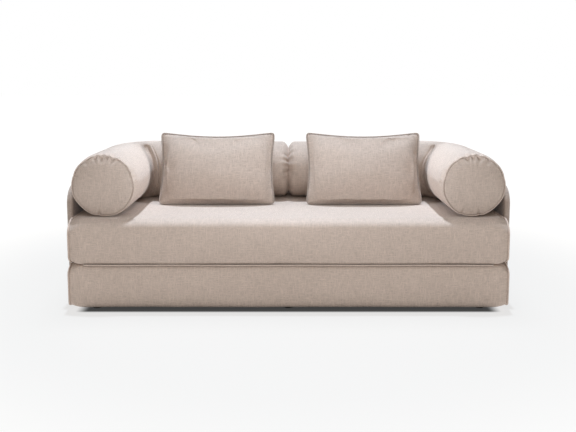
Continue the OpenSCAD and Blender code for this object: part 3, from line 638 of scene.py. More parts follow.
# Rolls: each runs from its front disc along the arm, round the corner and along the back
rollForm = dict(
    radius=0.151, flatFoot=0.004, bend=0.200, axisX=0.855, armLong=0.392, meetGap=0.0008, slack=0.005,
    discDome=0.015, discSeamIn=0.008, groove=0.006, shoulderRun=0.060, cornerSwell=0.004, cornerTurn=1.05,
    domeRun=0.042, domeDrop=0.065, domeFull=0.93, around=104, alongStep=0.0105, bendStep=0.0065,
    shoulder=(0.0, 0.0018, 0.004, 0.007, 0.012, 0.019, 0.028, 0.039, 0.050, 0.060),
    # the disc turns in from its seam: inset and how far out
    discTurn=((0.0018, 0.004), (0.0045, 0.0068), (0.009, 0.0088), (0.016, 0.0102), (0.026, 0.0108)),
    discCrown=0.0035,
    soft=dict(pressure=4.0, frames=14, cap=0.010, tension=20, shear=6, bending=0.15, shrink=-0.025),
    footHeld=0.9, tailIn=0.0015, zipRoom=(0.004, 0.002, 0.02), zipSink=0.0006,
    puckerIn=0.0095, puckerRun=0.024, faceRise=0.004, armRise=0.003,
    rimIn=0.0045, rimWave=0.0016, rimRun=0.02,
    endIn=0.0075, endRun=0.036, endFolds=9, endFoldWide=4.0, endClear=0.02, endEase=0.06,
)
# where the disc's cloth is gathered: degrees from the top towards the seat, size, width in degrees
discFolds = dict(
    left=[(-35, 0.35, 4), (-14, 1.0, 4), (-2, 1.5, 4.5), (9, 1.2, 4), (20, 1.5, 4.5), (42, 0.35, 4),
          (75, 0.3, 5), (-70, 0.3, 4), (152, 0.35, 4), (190, 1.0, 3)],
    right=[(-30, 0.4, 4), (-9, 1.4, 4.5), (4, 1.1, 4), (15, 1.6, 4.5), (34, 0.5, 4), (70, 0.3, 5),
           (-75, 0.3, 4), (158, 0.7, 3), (192, 0.9, 3)],
)
# gathers of the inner ends, given in the same way
endFolds = dict(
    left=[(34, 0.6, 4), (50, 1.3, 3.5), (63, 1.5, 3.5), (76, 1.2, 3.5), (90, 1.3, 4), (104, 0.8, 4)],
    right=[(30, 0.6, 4), (44, 1.0, 4), (60, 0.8, 3.5), (82, 0.7, 5)],
)
# the fold inside the bend: lip of the arm, deep slit, a small second fold and its line
bendFold = dict(
    left=dict(at=55.0, lip=0.0045, slit=0.013, slitHalf=0.0042, roll=0.0025, line=0.0075, lineAt=0.0145),
    right=dict(at=41.0, lip=0.0040, slit=0.013, slitHalf=0.0046, roll=0.0020, line=0.0060, lineAt=0.0160),
    mitreFrom=0.035, mitreRun=0.080, mitreMost=0.50, wall=3.5,
    # where the fold starts and is full: from the bend's own axis inwards, and above the foot
    rimFrom=0.045, rimRun=0.05, footFrom=-0.135, footRun=0.06,
    lipAt=-0.010, lipHalf=0.007, rollAt=0.008, rollHalf=0.0035, lineHalf=0.003,
)
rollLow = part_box("left_roll_cover")[0]
rollAxisY = rollLow[1] + rollForm["armLong"] + rollForm["bend"]      # the back part's axis
rollAxisZ = rollLow[2] + rollForm["radius"] - rollForm["flatFoot"]
discSeam = rollLow[1] + rollForm["discDome"]
seamRadius = rollForm["radius"] - rollForm["discSeamIn"] - rollForm["groove"]


def rollPlace(spec, s):
    arm, bend = rollAxisY - spec["bend"] - rollLow[1], spec["bend"] * math.pi / 2
    if s < arm:
        return (-spec["axisX"], rollLow[1] + s), math.pi / 2
    t = (s - arm) / spec["bend"]
    if t < math.pi / 2:
        return (-spec["axisX"] + spec["bend"] * (1 - math.cos(t)),
                rollLow[1] + arm + spec["bend"] * math.sin(t)), math.pi / 2 - t
    return (-spec["axisX"] + spec["bend"] + s - arm - bend, rollAxisY), 0.0


def makeRoll(spec, side, material):
    footZ = rollLow[2]
    arm, bend = rollAxisY - spec["bend"] - rollLow[1], spec["bend"] * math.pi / 2
    length = arm + bend + spec["axisX"] - spec["bend"] - spec["meetGap"] / 2
    n, full = spec["around"], spec["radius"] - spec["slack"]
    angle = -math.pi / 4 + 2 * math.pi * np.arange(n) / n      # starts at a corner of the disc's grid

    def ring(s, reach, share=0.0):
        (cx, cy), way = rollPlace(spec, s)
        swell = math.sin(math.pi * share) * spec["cornerSwell"] if 0 < share < 1 else 0.0
        r = reach + swell * np.maximum(0, np.cos(angle + spec["cornerTurn"]))
        return np.stack([cx + r * np.sin(angle) * math.sin(way), cy - r * np.sin(angle) * math.cos(way),
                         np.maximum(footZ, rollAxisZ + r * np.cos(angle))], -1)

    stations = [(spec["discDome"] + d,
                 seamRadius + (full - seamRadius) * (1 - (1 - d / spec["shoulderRun"]) ** 3))
                for d in spec["shoulder"]]
    stops = spec["discDome"] + spec["shoulderRun"], arm, arm + bend, length - spec["domeRun"]
    for low, high, step in zip(stops, stops[1:], (spec["alongStep"], spec["bendStep"], spec["alongStep"])):
        stations += [(s, full, (s - arm) / bend)
                     for s in np.linspace(low, high, int((high - low) / step))[1:]]
    stations += [(length - spec["domeRun"] * (1 - math.cos(a) * spec["domeFull"]),
                  full - spec["domeDrop"] * (1 - math.sin(a))) for a in np.radians(np.linspace(82, 0, 12))]
    rings = [ring(*station) for station in stations]
    along = np.array([station[0] for station in stations])
    girth = spec["radius"] * np.r_[angle, angle[0] + 2 * math.pi]
    grids = [(closeRings(rings), flatGrid(along[:, None], girth[None]))]

    # disc: a short turn in from the seam, then a gently domed face
    face = [rings[0]] + [ring(spec["discDome"] - out, seamRadius - inset) for inset, out in spec["discTurn"]]
    rim, cap, middle = closeRings(face), fillRing(face[-1], (n // 4, n // 4)), face[-1].mean(0)
    reach = np.linalg.norm(cap[..., [0, 2]] - middle[[0, 2]], axis=-1)
    cap[..., 1] -= spec["discCrown"] * (1 - (reach / reach.max()) ** 2)
    grids += [(grid, grid[..., [0, 2]] + 5.0) for grid in (rim, cap)]

    # inner end: a soft dome, closed by a shallow face
    tail, middle = fillRing(rings[-1], (n // 4, n // 4)), rings[-1].mean(0)
    spread = np.linalg.norm(tail[..., 1:] - middle[1:], axis=-1)
    bow = 1 - (spread / spread.max()) ** 2
    tail[..., 0] = rings[-1][0, 0] + (length - spec["tailIn"] - along[-1]) * bow
    grids.append((tail, tail[..., 1:] + 7.0))
    piece = meshFromGrids(side + "Roll", grids)
    start = corners(piece)
    off = np.hypot(start[:, 0] + spec["axisX"], start[:, 2] - rollAxisZ)
    held = np.where((np.abs(start[:, 1] - discSeam) < 0.0006) & (off < seamRadius + 0.001), 1.0, 0.0)
    held = np.where(start[:, 2] < footZ + 0.0005, spec["footHeld"], held)
    setCorners(piece, settle(piece, spec["soft"], held))
    before = refine(piece, start)
    co = foldCorner(spec, bendFold[side], corners(piece), before)
    co = pucker(spec, side, co, before)
    co[:, 2] = np.maximum(co[:, 2], footZ)
    (zipLow, zipHigh), (ahead, aside, above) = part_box("left_roll_zip"), spec["zipRoom"]
    inZip = (co[:, 0] > zipLow[0] - ahead) & (co[:, 0] < zipHigh[0] + ahead) & (co[:, 2] < footZ + above)
    inZip &= np.abs(co[:, 1] - rollAxisY) < (zipHigh[1] - zipLow[1]) / 2 + aside
    co[inZip, 2] = np.maximum(co[inZip, 2], zipHigh[2] - spec["zipSink"])
    if side == "right":
        co[:, 0] *= -1
        piece.data.flip_normals()
    setCorners(piece, co)
    piece.data.materials.append(material)
    # the disc's face takes the darker disc cloth, painted shade
    piece.data.materials.append(discCloth)
    for face in piece.data.polygons:
        if max(before[list(face.vertices), 1]) < discSeam + 0.0004:
            face.material_index = 1
    fitOut(piece, None, side + "_roll", "roll_cloth", side + "_roll_cover", side + "_roll_core")


# Draws the inside of the bend together like a mitre, and folds it in along the corner
def foldCorner(spec, fold, co, before):
    out, fold = co.copy(), {**bendFold, **fold}
    dx = before[:, 0] + spec["axisX"] - spec["bend"]
    dy = before[:, 1] - rollAxisY + spec["bend"]
    far = np.maximum(np.hypot(dx, dy), 1e-6)
    turn = np.degrees(np.arctan2(dy, -dx))      # 0 where the arm ends, 90 where the back part starts
    inside, up = spec["bend"] - far, before[:, 2] - rollAxisZ
    # each part runs straight on until it meets the fold
    arm, rear = (np.minimum(1 / np.cos(np.radians(np.clip(value, 0, 60))) - 1, fold["mitreMost"])
                 for value in (turn, 90 - turn))
    across = smoothStep((turn - fold["at"] + fold["wall"]) / (2 * fold["wall"]))
    away = np.stack([dx, dy], -1) / far[:, None]
    mitre = np.where((turn > 0) & (turn < 90), arm + (rear - arm) * across, 0)
    reach = far * mitre * smoothStep((inside - fold["mitreFrom"]) / fold["mitreRun"])
    out[:, :2] += away * reach[:, None]
    d = np.radians(turn - fold["at"]) * (far + reach)
    rim = smoothStep((inside - fold["rimFrom"]) / fold["rimRun"])
    rim = rim * smoothStep((up - fold["footFrom"]) / fold["footRun"])
    form = sum(tall * np.exp(-((d - at) / half) ** 2) for tall, at, half in (
        (fold["lip"], fold["lipAt"], fold["lipHalf"]), (-fold["slit"], 0, fold["slitHalf"]),
        (fold["roll"], fold["rollAt"], fold["rollHalf"]), (-fold["line"], fold["lineAt"], fold["lineHalf"])))
    size = np.maximum(np.hypot(inside, up), 1e-6)
    normal = np.stack([-away[:, 0] * inside / size, -away[:, 1] * inside / size, up / size], -1)
    return out + normal * (form * rim)[:, None]


# How far the disc's seam is drawn in at each angle
def rimShift(spec, angle, folds):
    wave = np.sin(3 * angle + 0.5) + 0.7 * np.sin(7 * angle + 1.9)
    return spec["rimWave"] * wave - spec["rimIn"] * gathers(angle, folds)


def pucker(spec, side, co, before):
    out, run = co.copy(), spec["puckerRun"]
    dx, dz = before[:, 0] + spec["axisX"], before[:, 2] - rollAxisZ
    size = np.maximum(np.hypot(dx, dz), 1e-6)
    angle, fromSeam = np.arctan2(dx, dz), before[:, 1] - discSeam
    drawn = spec["puckerIn"] * gathers(angle, discFolds[side])
    shift = rimShift(spec, angle, discFolds[side]) * np.exp(-((size - seamRadius) / spec["rimRun"]) ** 2
                                                            - (fromSeam / spec["rimRun"]) ** 2)
    face = fromSeam < -0.0003
    inward, back = np.maximum(0, seamRadius - size), np.maximum(0, fromSeam)
    dip = drawn * np.exp(-(inward / run) ** 1.4) * np.minimum(1, inward / spec["faceRise"])
    out[:, 1] += np.where(face, dip, 0)
    onArm = ~face & (fromSeam < 4 * run) & (dx < 2 * spec["radius"])
    dip = drawn * np.exp(-(back / run) ** 1.3) * np.minimum(1, back / spec["armRise"])
    shift -= np.where(onArm, dip, 0)
    out[:, 0] += dx / size * shift
    out[:, 2] += dz / size * shift

    dy, toEnd = before[:, 1] - rollAxisY, -before[:, 0]
    size = np.maximum(np.hypot(dy, dz), 1e-6)
    folds = endFolds[side] + scatteredFolds(len(endFolds[side]), spec["endFolds"], spec["endFoldWide"])
    dent = spec["endIn"] * gathers(np.arctan2(-dy, dz), folds) * np.exp(-(toEnd / spec["endRun"]) ** 2)
    near = (toEnd < 3 * spec["endRun"]) & (before[:, 1] > rollAxisY - 2 * spec["radius"])
    dent = np.where(near, dent * smoothStep((size - spec["endClear"]) / spec["endEase"]), 0)
    out[:, 1] -= dy / size * dent
    out[:, 2] -= dz / size * dent
    return out


def makeRollPiping(spec, side, material, radius=0.0035):
    mirror = 1 if side == "left" else -1
    a = np.linspace(0, 2 * math.pi, 180, endpoint=False)
    reach = seamRadius + (radius + 0.0003) * math.sqrt(2) + rimShift(spec, a, discFolds[side])
    path = np.stack([mirror * (reach * np.sin(a) - spec["axisX"]), np.full(len(a), discSeam),
                     rollAxisZ + reach * np.cos(a)], -1)
    fitOut(tube(side + "RollPiping", path, radius, up=(0, 1, 0)), material, side + "_roll", "piping_cloth",
           side + "_roll_piping")


for side in ("left", "right"):
    makeRoll(rollForm, side, rollCloth)
    makeRollPiping(rollForm, side, discEdge)
print("rolls made")


# Pillows: two sewn sheets over a filling, leaning on the roll behind
pillowForm = dict(
    wide=0.588, high=0.372, thick=0.140, lean=18.0,
    sideDraw=0.019, topDraw=0.026, footDraw=0.005, cornerIn=0.03,
    columns=84, rows=54, cutWide=0.640, cutHigh=0.418,
    # before it is blown up, the sheet rises a little, with bumps of these sizes
    rise=0.004, bumps=24, bumpSize=(0.08, 0.3), bumpShare=0.5, folds=30, foldsOnEnds=16, foldTo=0.92,
    edgeFit=(0.72, 0.24), lensPower=2.3, lensRound=0.72, detail=1.5, smooth=40, fineTo=0.92, fineEase=0.25,
    foldDeep=0.0030, foldRun=0.032, foldWide=0.0075, clear=0.0008, press=0.006, rimSmooth=3, welt=0.0031,
    soft=dict(pressure=3.0, frames=20, tension=25, shear=8, bending=0.12), seeds=dict(left=3, right=8),
)


def pillowEdgePlan(spec, u, v):
    k = 1 - spec["cornerIn"] * np.abs(u * v) ** 8
    x = u * (spec["wide"] / 2 - spec["sideDraw"] * (1 - v * v)) * k
    z = v * (spec["high"] / 2 - np.where(v > 0, spec["topDraw"], spec["footDraw"]) * (1 - u * u)) * k
    return np.stack([x, z], -1)


# Brings the sewn edge back to its plan, and spreads that move over the sheet
def fitToEdge(spec, co, u, v):
    gap = pillowEdgePlan(spec, *np.broadcast_arrays(u[:, None], v[None])) - co[..., [0, 2]]

    def evened(along, line):
        return np.stack([np.polyval(np.polyfit(along, line[:, c], 6), along) for c in (0, 1)], -1)

    (left, right), (foot, top) = ([evened(along, sides[end]) for end in (0, -1)]
                                  for along, sides in ((v, gap), (u, gap.swapaxes(0, 1))))
    a, b = (u[:, None, None] + 1) / 2, (v[None, :, None] + 1) / 2
    out = co.copy()
    out[..., [0, 2]] += ((1 - a) * left[None] + a * right[None] + (1 - b) * foot[:, None] + b * top[:, None]
                         - (1 - a) * (1 - b) * left[0] - a * (1 - b) * right[0]
                         - (1 - a) * b * left[-1] - a * b * right[-1])
    return out


# Short folds that run in from the sewn edge
def edgeFolds(spec, folds, u, v):
    deep = np.zeros_like(u)
    for onEnd, sign, place, size in folds:
        across, along = (u, v) if onEnd else (v, u)
        reach, length = (spec["wide"], spec["high"]) if onEnd else (spec["high"], spec["wide"])
        inward = np.maximum(0, (1 - across * sign) * reach / 2)
        line = np.exp(-((along - place) * length / 2 / spec["foldWide"]) ** 2)
        run = spec["foldRun"] * (0.5 + 0.5 * size)
        deep += size * spec["foldDeep"] * line * np.exp(-(inward / run) ** 2) * np.minimum(1, inward / 0.008)
    return deep


def blurred(values, times):
    for _ in range(times):
        for axis in (0, 1):
            count = values.shape[axis]
            more = [(int(k == axis),) * 2 for k in (0, 1)]
            wide = np.pad(values, more, "reflect", reflect_type="odd")
            near = np.take(wide, range(count), axis), np.take(wide, range(2, count + 2), axis)
            values = (near[0] + 2 * values + near[1]) / 4
    return values


def makePillow(spec, side, material):
    columns, rows = spec["columns"], spec["rows"]
    u, v = np.linspace(-1, 1, columns + 1), np.linspace(-1, 1, rows + 1)
    uu, vv = np.broadcast_arrays(u[:, None], v[None])
    nearest = np.maximum(np.abs(uu), np.abs(vv))
    draw = np.random.default_rng(spec["seeds"][side])
    bumps = [(draw.uniform(-1, 1), draw.uniform(-1, 1), draw.uniform(*spec["bumpSize"]), draw.uniform(-1, 1))
             for _ in range(spec["bumps"])]
    folds = [(k < spec["foldsOnEnds"], 1 if k % 2 else -1, draw.uniform(-spec["foldTo"], spec["foldTo"]),
              draw.uniform(0.2, 1)) for k in range(spec["folds"])]
    rise = spec["rise"] * (1 - uu ** 4) * (1 - vv ** 4)
    for bu, bv, size, tall in bumps:
        rise = rise * (1 + spec["bumpShare"] * tall * np.exp(-((uu - bu) ** 2 + (vv - bv) ** 2) / size ** 2))
    grids = []
    for face in (-1, 1):
        grid = np.stack([uu * spec["cutWide"] / 2, face * rise, vv * spec["cutHigh"] / 2], -1)
        grids.append((grid, grid[..., [0, 2]] + (0 if face < 0 else 2.0)))
    piece = meshFromGrids(side + "Pillow", grids)
    cut = corners(piece)
    co = settle(piece, spec["soft"])
    iu = np.rint((cut[:, 0] / spec["cutWide"] + 0.5) * columns).astype(int)
    iv = np.rint((cut[:, 2] / spec["cutHigh"] + 0.5) * rows).astype(int)
    edge = (iu == 0) | (iu == columns) | (iv == 0) | (iv == rows)
    co[:, 1] -= co[edge, 1].mean()
    for face in (-1, 1):
        here = (cut[:, 1] * face > 0) | edge
        grid = np.zeros((columns + 1, rows + 1, 3))
        grid[iu[here], iv[here]] = co[here]
        grid = fitToEdge(spec, grid, u, v)
        nearEdge = smoothStep((nearest - spec["edgeFit"][0]) / spec["edgeFit"][1])[..., None]
        grid[..., [0, 2]] += (pillowEdgePlan(spec, uu, vv) - grid[..., [0, 2]]) * nearEdge
        lens = (1 - np.abs(uu) ** spec["lensPower"]) * (1 - np.abs(vv) ** spec["lensPower"])
        lens = lens ** spec["lensRound"]
        fine = grid[..., 1] - blurred(grid[..., 1], spec["smooth"])
        fine = fine * smoothStep((spec["fineTo"] - nearest) / spec["fineEase"])
        tall = face * (spec["thick"] / 2 * lens - edgeFolds(spec, folds, uu, vv)) + fine * spec["detail"]
        grid[..., 1] = np.where(nearest < 1, tall, grid[..., 1])
        if face > 0:
            here = here & ~edge
        co[here] = grid[iu[here], iv[here]]
    co[:, 1] *= (spec["thick"] / 2 - 0.001) / np.quantile(np.abs(co[~edge, 1]), 0.995)
    co[:, 1] = np.clip(co[:, 1], -spec["thick"] / 2, spec["thick"] / 2)
    low, high = (np.array(p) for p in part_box(side + "_pillow_piping"))      # lies in the pillow's plane
    middle, lean = (low + high) / 2, math.radians(spec["lean"])
    put = np.stack([middle[0] + co[:, 0], middle[1] + co[:, 1] * math.cos(lean) + co[:, 2] * math.sin(lean),
                    middle[2] + co[:, 2] * math.cos(lean) - co[:, 1] * math.sin(lean)], -1)
    put = restOnRoll(rollForm, put, spec["clear"])
    # the foot is pressed softly on the seat
    floor = low[2] + 0.0005
    above = (put[:, 2] - floor) / spec["press"]
    put[:, 2] = floor + spec["press"] * np.where(above > 20, above, np.log1p(np.exp(np.minimum(above, 20))))
    order = [(i, 0) for i in range(columns)] + [(columns, j) for j in range(rows)]
    order += [(columns - i, rows) for i in range(columns)] + [(0, rows - j) for j in range(rows)]
    find = {(a, b): k for k, (a, b) in enumerate(zip(iu, iv)) if edge[k]}
    loop = [find[place] for place in order]
    for _ in range(spec["rimSmooth"]):
        put[loop] = (np.roll(put[loop], 1, 0) + 2 * put[loop] + np.roll(put[loop], -1, 0)) / 4
    setCorners(piece, put)
    body = side + "_pillow"
    fitOut(piece, material, body, "pillow_cloth", body + "_cover", body + "_filling")
    return put[loop]


# Keeps points out of the rolls that carry them
def restOnRoll(form, points, clear):
    turnX, turnY = form["axisX"] - form["bend"], rollAxisY - form["bend"]
    x, y = np.abs(points[:, 0]), points[:, 1]
    inCorner = (x > turnX) & (y > turnY)
    dx, dy = x - turnX, y - turnY
    ring = np.maximum(np.hypot(dx, dy), 1e-6)
    nearX = np.where(inCorner, turnX + dx / ring * form["bend"], np.where(y > turnY, x, form["axisX"]))
    nearY = np.where(inCorner, turnY + dy / ring * form["bend"], np.where(y > turnY, rollAxisY, y))
    away = np.stack([(x - nearX) * np.sign(points[:, 0]), y - nearY, points[:, 2] - rollAxisZ], -1)
    far = np.linalg.norm(away, axis=1)
    short = np.maximum(0, form["radius"] + clear - far)
    return points + away / np.maximum(far, 1e-6)[:, None] * short[:, None]


def makePillowPiping(spec, side, rim, material):
    lean = math.radians(spec["lean"])
    flatNormal = np.array([0.0, math.cos(lean), -math.sin(lean)])
    out = np.cross(np.roll(rim, -1, 0) - np.roll(rim, 1, 0), flatNormal)
    out /= np.linalg.norm(out, axis=1)[:, None]
    out *= np.sign(((rim - rim.mean(0)) * out).sum(1))[:, None]
    piece = tube(side + "PillowPiping", rim + out * (spec["welt"] * 0.85), spec["welt"], up=flatNormal)
    co = corners(piece)
    co[:, 2] = np.maximum(co[:, 2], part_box(side + "_pillow_piping")[0][2])
    setCorners(piece, co)
    fitOut(piece, material, side + "_pillow", "piping_cloth", side + "_pillow_piping")


for side in ("left", "right"):
    rim = makePillow(pillowForm, side, pillowCloth)
    makePillowPiping(pillowForm, side, rim, pillowEdge)
print("pillows made")


# Border panels: boards wrapped in padded cloth, with a seam round the middle of the edge
panelForm = dict(edge=0.012, corner=0.024, frontCorner=0.090, crown=0.0012, seam=0.0018, seamHalf=0.0015,
                 lip=0.0005, wave=0.0005, counts=(64, 42, 64, 42))


def makePanel(spec, side, material):
    low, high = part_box(side + "_panel_cover")
    across = 1 if side == "back" else 0
    along = 1 - across
    middle, half = (low[across] + high[across]) / 2, (high[across] - low[across]) / 2
    edge, counts = spec["edge"], spec["counts"]
    radii = [spec["corner"]] * 3 + [spec["corner"] if side == "back" else spec["frontCorner"]]

    def placed(flat, t):
        points = np.empty((*flat.shape[:-1], 3))
        points[..., along], points[..., 2], points[..., across] = flat[..., 0], flat[..., 1], middle + t
        return points

    # from one face round the edge to the other: inset and height
    arc = [(edge * (1 - math.cos(a)), half - edge + edge * math.sin(a))
           for a in np.radians(np.linspace(90, 0, 8))]
    seam = [(spec["lip"], -spec["seamHalf"]), (spec["seam"], 0.0), (spec["lip"], spec["seamHalf"])]
    line = [(d, -t) for d, t in arc] + seam + arc[::-1]
    flats = [outline((low[along] + d, low[2] + d), (high[along] - d, high[2] - d),
                     [(max(r - d, 0.001),) * 2 for r in radii], counts) for d, _ in line]
    rim = closeRings([placed(flat, t) for flat, (_, t) in zip(flats, line)])
    grids = [(rim, flatGrid(wayAlong(rim[len(rim) // 2])[None], wayAlong(np.array(line))[:, None]))]
    outer = 1 if side != "left" else -1
    for flat, sign in ((flats[0], -1), (flats[-1], 1)):
        cap = fillRing(flat, counts)
        s, t = spans(cap)
        wave = np.sin(cap[..., 0] * 13 + 1.1) * np.sin(cap[..., 1] * 17) * spec["wave"]
        rise = (spec["crown"] if sign == outer else 0) * (1 - s ** 4) * (1 - t ** 4)
        rise = rise + wave * (1 - s ** 8) * (1 - t ** 8)
        grids.append((placed(cap, sign * (half + rise)), cap + 2.0 * (sign + 2)))
    piece = meshFromGrids(side + "Panel", grids)
    fitOut(piece, material, "base", "panel_cloth", side + "_panel_cover")


for side in ("left", "right", "back"):
    makePanel(panelForm, side, panelCloth)
print("panels made")


# Fold seam: a round bead of cloth on the seam line, a little uneven as sewn cloth is
foldSeam = dict(bead=0.0036, waveUp=0.0005, waveOut=0.0003, stations=520)


def makeFoldBead(spec, material):
    low, high = (np.array(p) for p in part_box("fold_bead"))
    x = np.linspace(low[0], high[0], spec["stations"])
    y = (low[1] + high[1]) / 2 + spec["waveOut"] * (np.sin(x * 19) + 0.6 * np.sin(x * 47 + 2)) / 1.6
    z = (low[2] + high[2]) / 2 + spec["waveUp"] * (np.sin(x * 11 + 1) + 0.5 * np.sin(x * 33)) / 1.5
    piece = tube("foldBead", np.stack([x, y, z], -1), spec["bead"], closed=False)
    fitOut(piece, material, "base", "base_cloth", "fold_bead")


# the bead's cloth is a little lighter, a painted highlight along the seam
makeFoldBead(foldSeam, clothMaterial("beadCloth", tone=1.04, turn=0.785))


# One tree for all that repeats along a line: stitches and the turns of a zip's coil
def repeatAlongTree():
    tree = newGroup("repeatAlong", "Geometry", dict(
        Geometry=["Geometry"], Pitch=["Float", 0.005], Wide=["Float", 0.0004], High=["Float", 0.0003],
        Long=["Float", 0.0018], Finish=["Material"]), dict(Geometry=["Geometry"]))
    given = wire(tree, "NodeGroupInput").outputs
    curve = wire(tree, "GeometryNodeMeshToCurve", {"Mesh": given["Geometry"]})
    upright = wire(tree, "GeometryNodeSetCurveNormal", {"Curve": curve.outputs[0]}, mode="Z_UP")
    points = wire(tree, "GeometryNodeCurveToPoints", {"Curve": upright.outputs[0], "Length": given["Pitch"]},
                  mode="LENGTH")
    bead = wire(tree, "GeometryNodeMeshUVSphere", {"Segments": 8, "Rings": 5, "Radius": 1.0})
    size = wire(tree, "ShaderNodeCombineXYZ", {0: given["Wide"], 1: given["High"], 2: given["Long"]})
    placed = wire(tree, "GeometryNodeInstanceOnPoints", {
        "Points": points.outputs["Points"], "Instance": bead.outputs["Mesh"],
        "Rotation": points.outputs["Rotation"], "Scale": size.outputs[0]})
    real = wire(tree, "GeometryNodeRealizeInstances", {"Geometry": placed.outputs[0]})
    finished = wire(tree, "GeometryNodeSetMaterial", {"Geometry": real.outputs[0],
                                                      "Material": given["Finish"]})
    wire(tree, "NodeGroupOutput", {"Geometry": finished.outputs[0]})
    return tree


repeatAlong = repeatAlongTree()


def makeRow(name, lines, sizes, material):
    points, edges = [], []
    for line in lines:
        edges += [(i, i + 1) for i in range(len(points), len(points) + len(line) - 1)]
        points += [tuple(p) for p in line]
    guide = bpy.data.meshes.new(name + "Guide")
    guide.from_pydata(points, edges, [])
    carrier = addObject(name + "Guide", guide)
    row = carrier.modifiers.new("row", "NODES")
    row.node_group = repeatAlong
    keys = {item.name: item.identifier for item in repeatAlong.interface.items_tree if item.in_out == "INPUT"}
    for key, value in zip(("Pitch", "Wide", "High", "Long", "Finish"), (*sizes, material)):
        row[keys[key]] = value
    mesh = meshMade(carrier)
    carrier.modifiers.remove(row)
    bpy.data.objects.remove(carrier)
    bpy.data.meshes.remove(guide)
    mesh.name = name
    return addObject(name, mesh)


# A thin closed strip along x: its width runs along wide and its thickness along out
def strip(name, start, length, wide, out, width, thick, stations, wave=0.0):
    x = np.linspace(0, length, stations)
    wide, out = np.asarray(wide), np.asarray(out)
    loop = np.array([(0, 0), (0.5, 0), (1, 0), (1, 1), (0.5, 1), (0, 1), (0, 0)])
    grid = np.zeros((stations, len(loop), 3)) + np.asarray(start, float)
    grid[..., 0] += x[:, None]
    grid += (loop[:, 0] * width)[None, :, None] * wide + (wave * np.sin(x * 21 + 0.7))[:, None, None] * wide
    grid += (loop[:, 1] * thick)[None, :, None] * out
    grids = [(grid, flatGrid(x[:, None], wayAlong(loop * (width, thick))[None]))]
    for end in (0, -1):
        cap = grid[end][[0, 1, 2, 5, 4, 3]].reshape(2, 3, 3)
        grids.append((cap, cap[..., 1:]))
    return meshFromGrids(name, grids)


# Hinge tapes: woven tape sewn into the seam, with two rows of stitches
tapeForm = dict(stations=160, wave=0.0002, stitch=(0.0050, 0.00040, 0.00030, 0.0019), rows=(0.30, 0.82),
                rowPoints=60, rowIn=0.01)


def makeHingeTape(spec, level, body, material, thread):
    low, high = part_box(level + "_hinge_tape")
    length, width = high[0] - low[0], high[1] - low[1]
    tape = strip(level + "HingeTape", low, length, (0, 1, 0), (0, 0, 1), width, high[2] - low[2],
                 spec["stations"], spec["wave"])
    fitOut(tape, material, body, "tape", level + "_hinge_tape")
    x = np.linspace(low[0] + spec["rowIn"], high[0] - spec["rowIn"], spec["rowPoints"])
    face = high[2] if level == "lower" else low[2]
    lines = [[(at, low[1] + width * share, face) for at in x] for share in spec["rows"]]
    stitches = fitOut(makeRow(level + "TapeStitches", lines, spec["stitch"], thread), None, body, "tape")


# Plain finishes that read object coordinates
def fineGroup():
    group = newGroup("fineGrain", "Shader",
                     dict(Place=["Vector"], Along=["Vector", (1, 1, 1)], Coarse=["Float", 8.0]),
                     dict(Grain=["Float"], Fleck=["Float"]))
    given = wire(group, "NodeGroupInput").outputs
    place = wire(group, "ShaderNodeVectorMath", {0: given["Place"], 1: given["Along"]},
                 operation="MULTIPLY").outputs[0]
    broad = noise(group, place, given["Coarse"], 4.0, Distortion=0.6)
    fine = noise(group, place, product(group, given["Coarse"], 9.0), 3.0)
    wire(group, "NodeGroupOutput", {"Grain": ease(group, broad, 0.32, 0.68, how="LINEAR"), "Fleck": fine})
    return group


fineGrain = fineGroup()


def plainMaterial(name, dark, light, along=(1, 1, 1), coarse=8.0, rough=(0.5, 0.7), metal=0.0, bump=0.0004):
    material, tree, shader = newMaterial(name)
    place = wire(tree, "ShaderNodeTexCoord").outputs["Object"]
    grain = wire(tree, "ShaderNodeGroup", {"Place": place, "Along": along, "Coarse": coarse},
                 node_tree=fineGrain).outputs
    both = inShares(tree, grain["Grain"], grain["Fleck"], 0.7)
    roughness = wire(tree, "ShaderNodeMapRange", {"Value": grain["Fleck"], "To Min": rough[0],
                                                  "To Max": rough[1]})
    lifted = wire(tree, "ShaderNodeBump", {"Height": both, "Strength": 0.5, "Distance": bump})
    feed(tree, shader, {"Base Color": mixTones(tree, both, dark, light), "Metallic": metal,
                        "Roughness": roughness.outputs[0], "Normal": lifted.outputs[0]})
    return material


timberX, timberY = (plainMaterial("timberAlong" + way, (0.42, 0.27, 0.13), (0.62, 0.44, 0.25), along, 1.6)
                    for way, along in (("X", (1.0, 26.0, 26.0)), ("Y", (26.0, 1.0, 26.0))))
plywood = plainMaterial("plywood", (0.50, 0.36, 0.20), (0.70, 0.54, 0.34), (1.5, 12.0, 60.0), 2.2)
steel = plainMaterial("zincSteel", (0.50, 0.51, 0.53), (0.64, 0.65, 0.67), coarse=160.0, rough=(0.28, 0.42),
                      metal=1.0, bump=0.00005)
glidePlastic = plainMaterial("glidePlastic", (0.012, 0.012, 0.013), (0.022, 0.022, 0.024), coarse=300.0,
                             rough=(0.45, 0.6), bump=0.0001)
tapeWeb = clothMaterial("tapeWeb", tone=0.42, thread=0.0011, slub=0.2)
sewingThread = plainMaterial("sewingThread", (0.30, 0.25, 0.21), (0.42, 0.36, 0.30), coarse=900.0,
                             rough=(0.6, 0.8), bump=0.0001)
zipCoil = plainMaterial("zipCoil", (0.20, 0.17, 0.145), (0.27, 0.235, 0.20), coarse=400.0, rough=(0.3, 0.42),
                        bump=0.00005)
finishes = dict(
    glides=glidePlastic, glide_screws=steel, deck_screws=steel, panel_bolts=steel, tee_nuts=steel,
    front_rail=timberX, back_rail=timberX, left_rail=timberY, right_rail=timberY, cross_rails=timberY,
    corner_blocks=timberX, deck=plywood, left_board=plywood, right_board=plywood, back_board=plywood,
)
for node, finish in finishes.items():
    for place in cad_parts[node].material_slots:
        place.material = finish
print("plain finishes given")

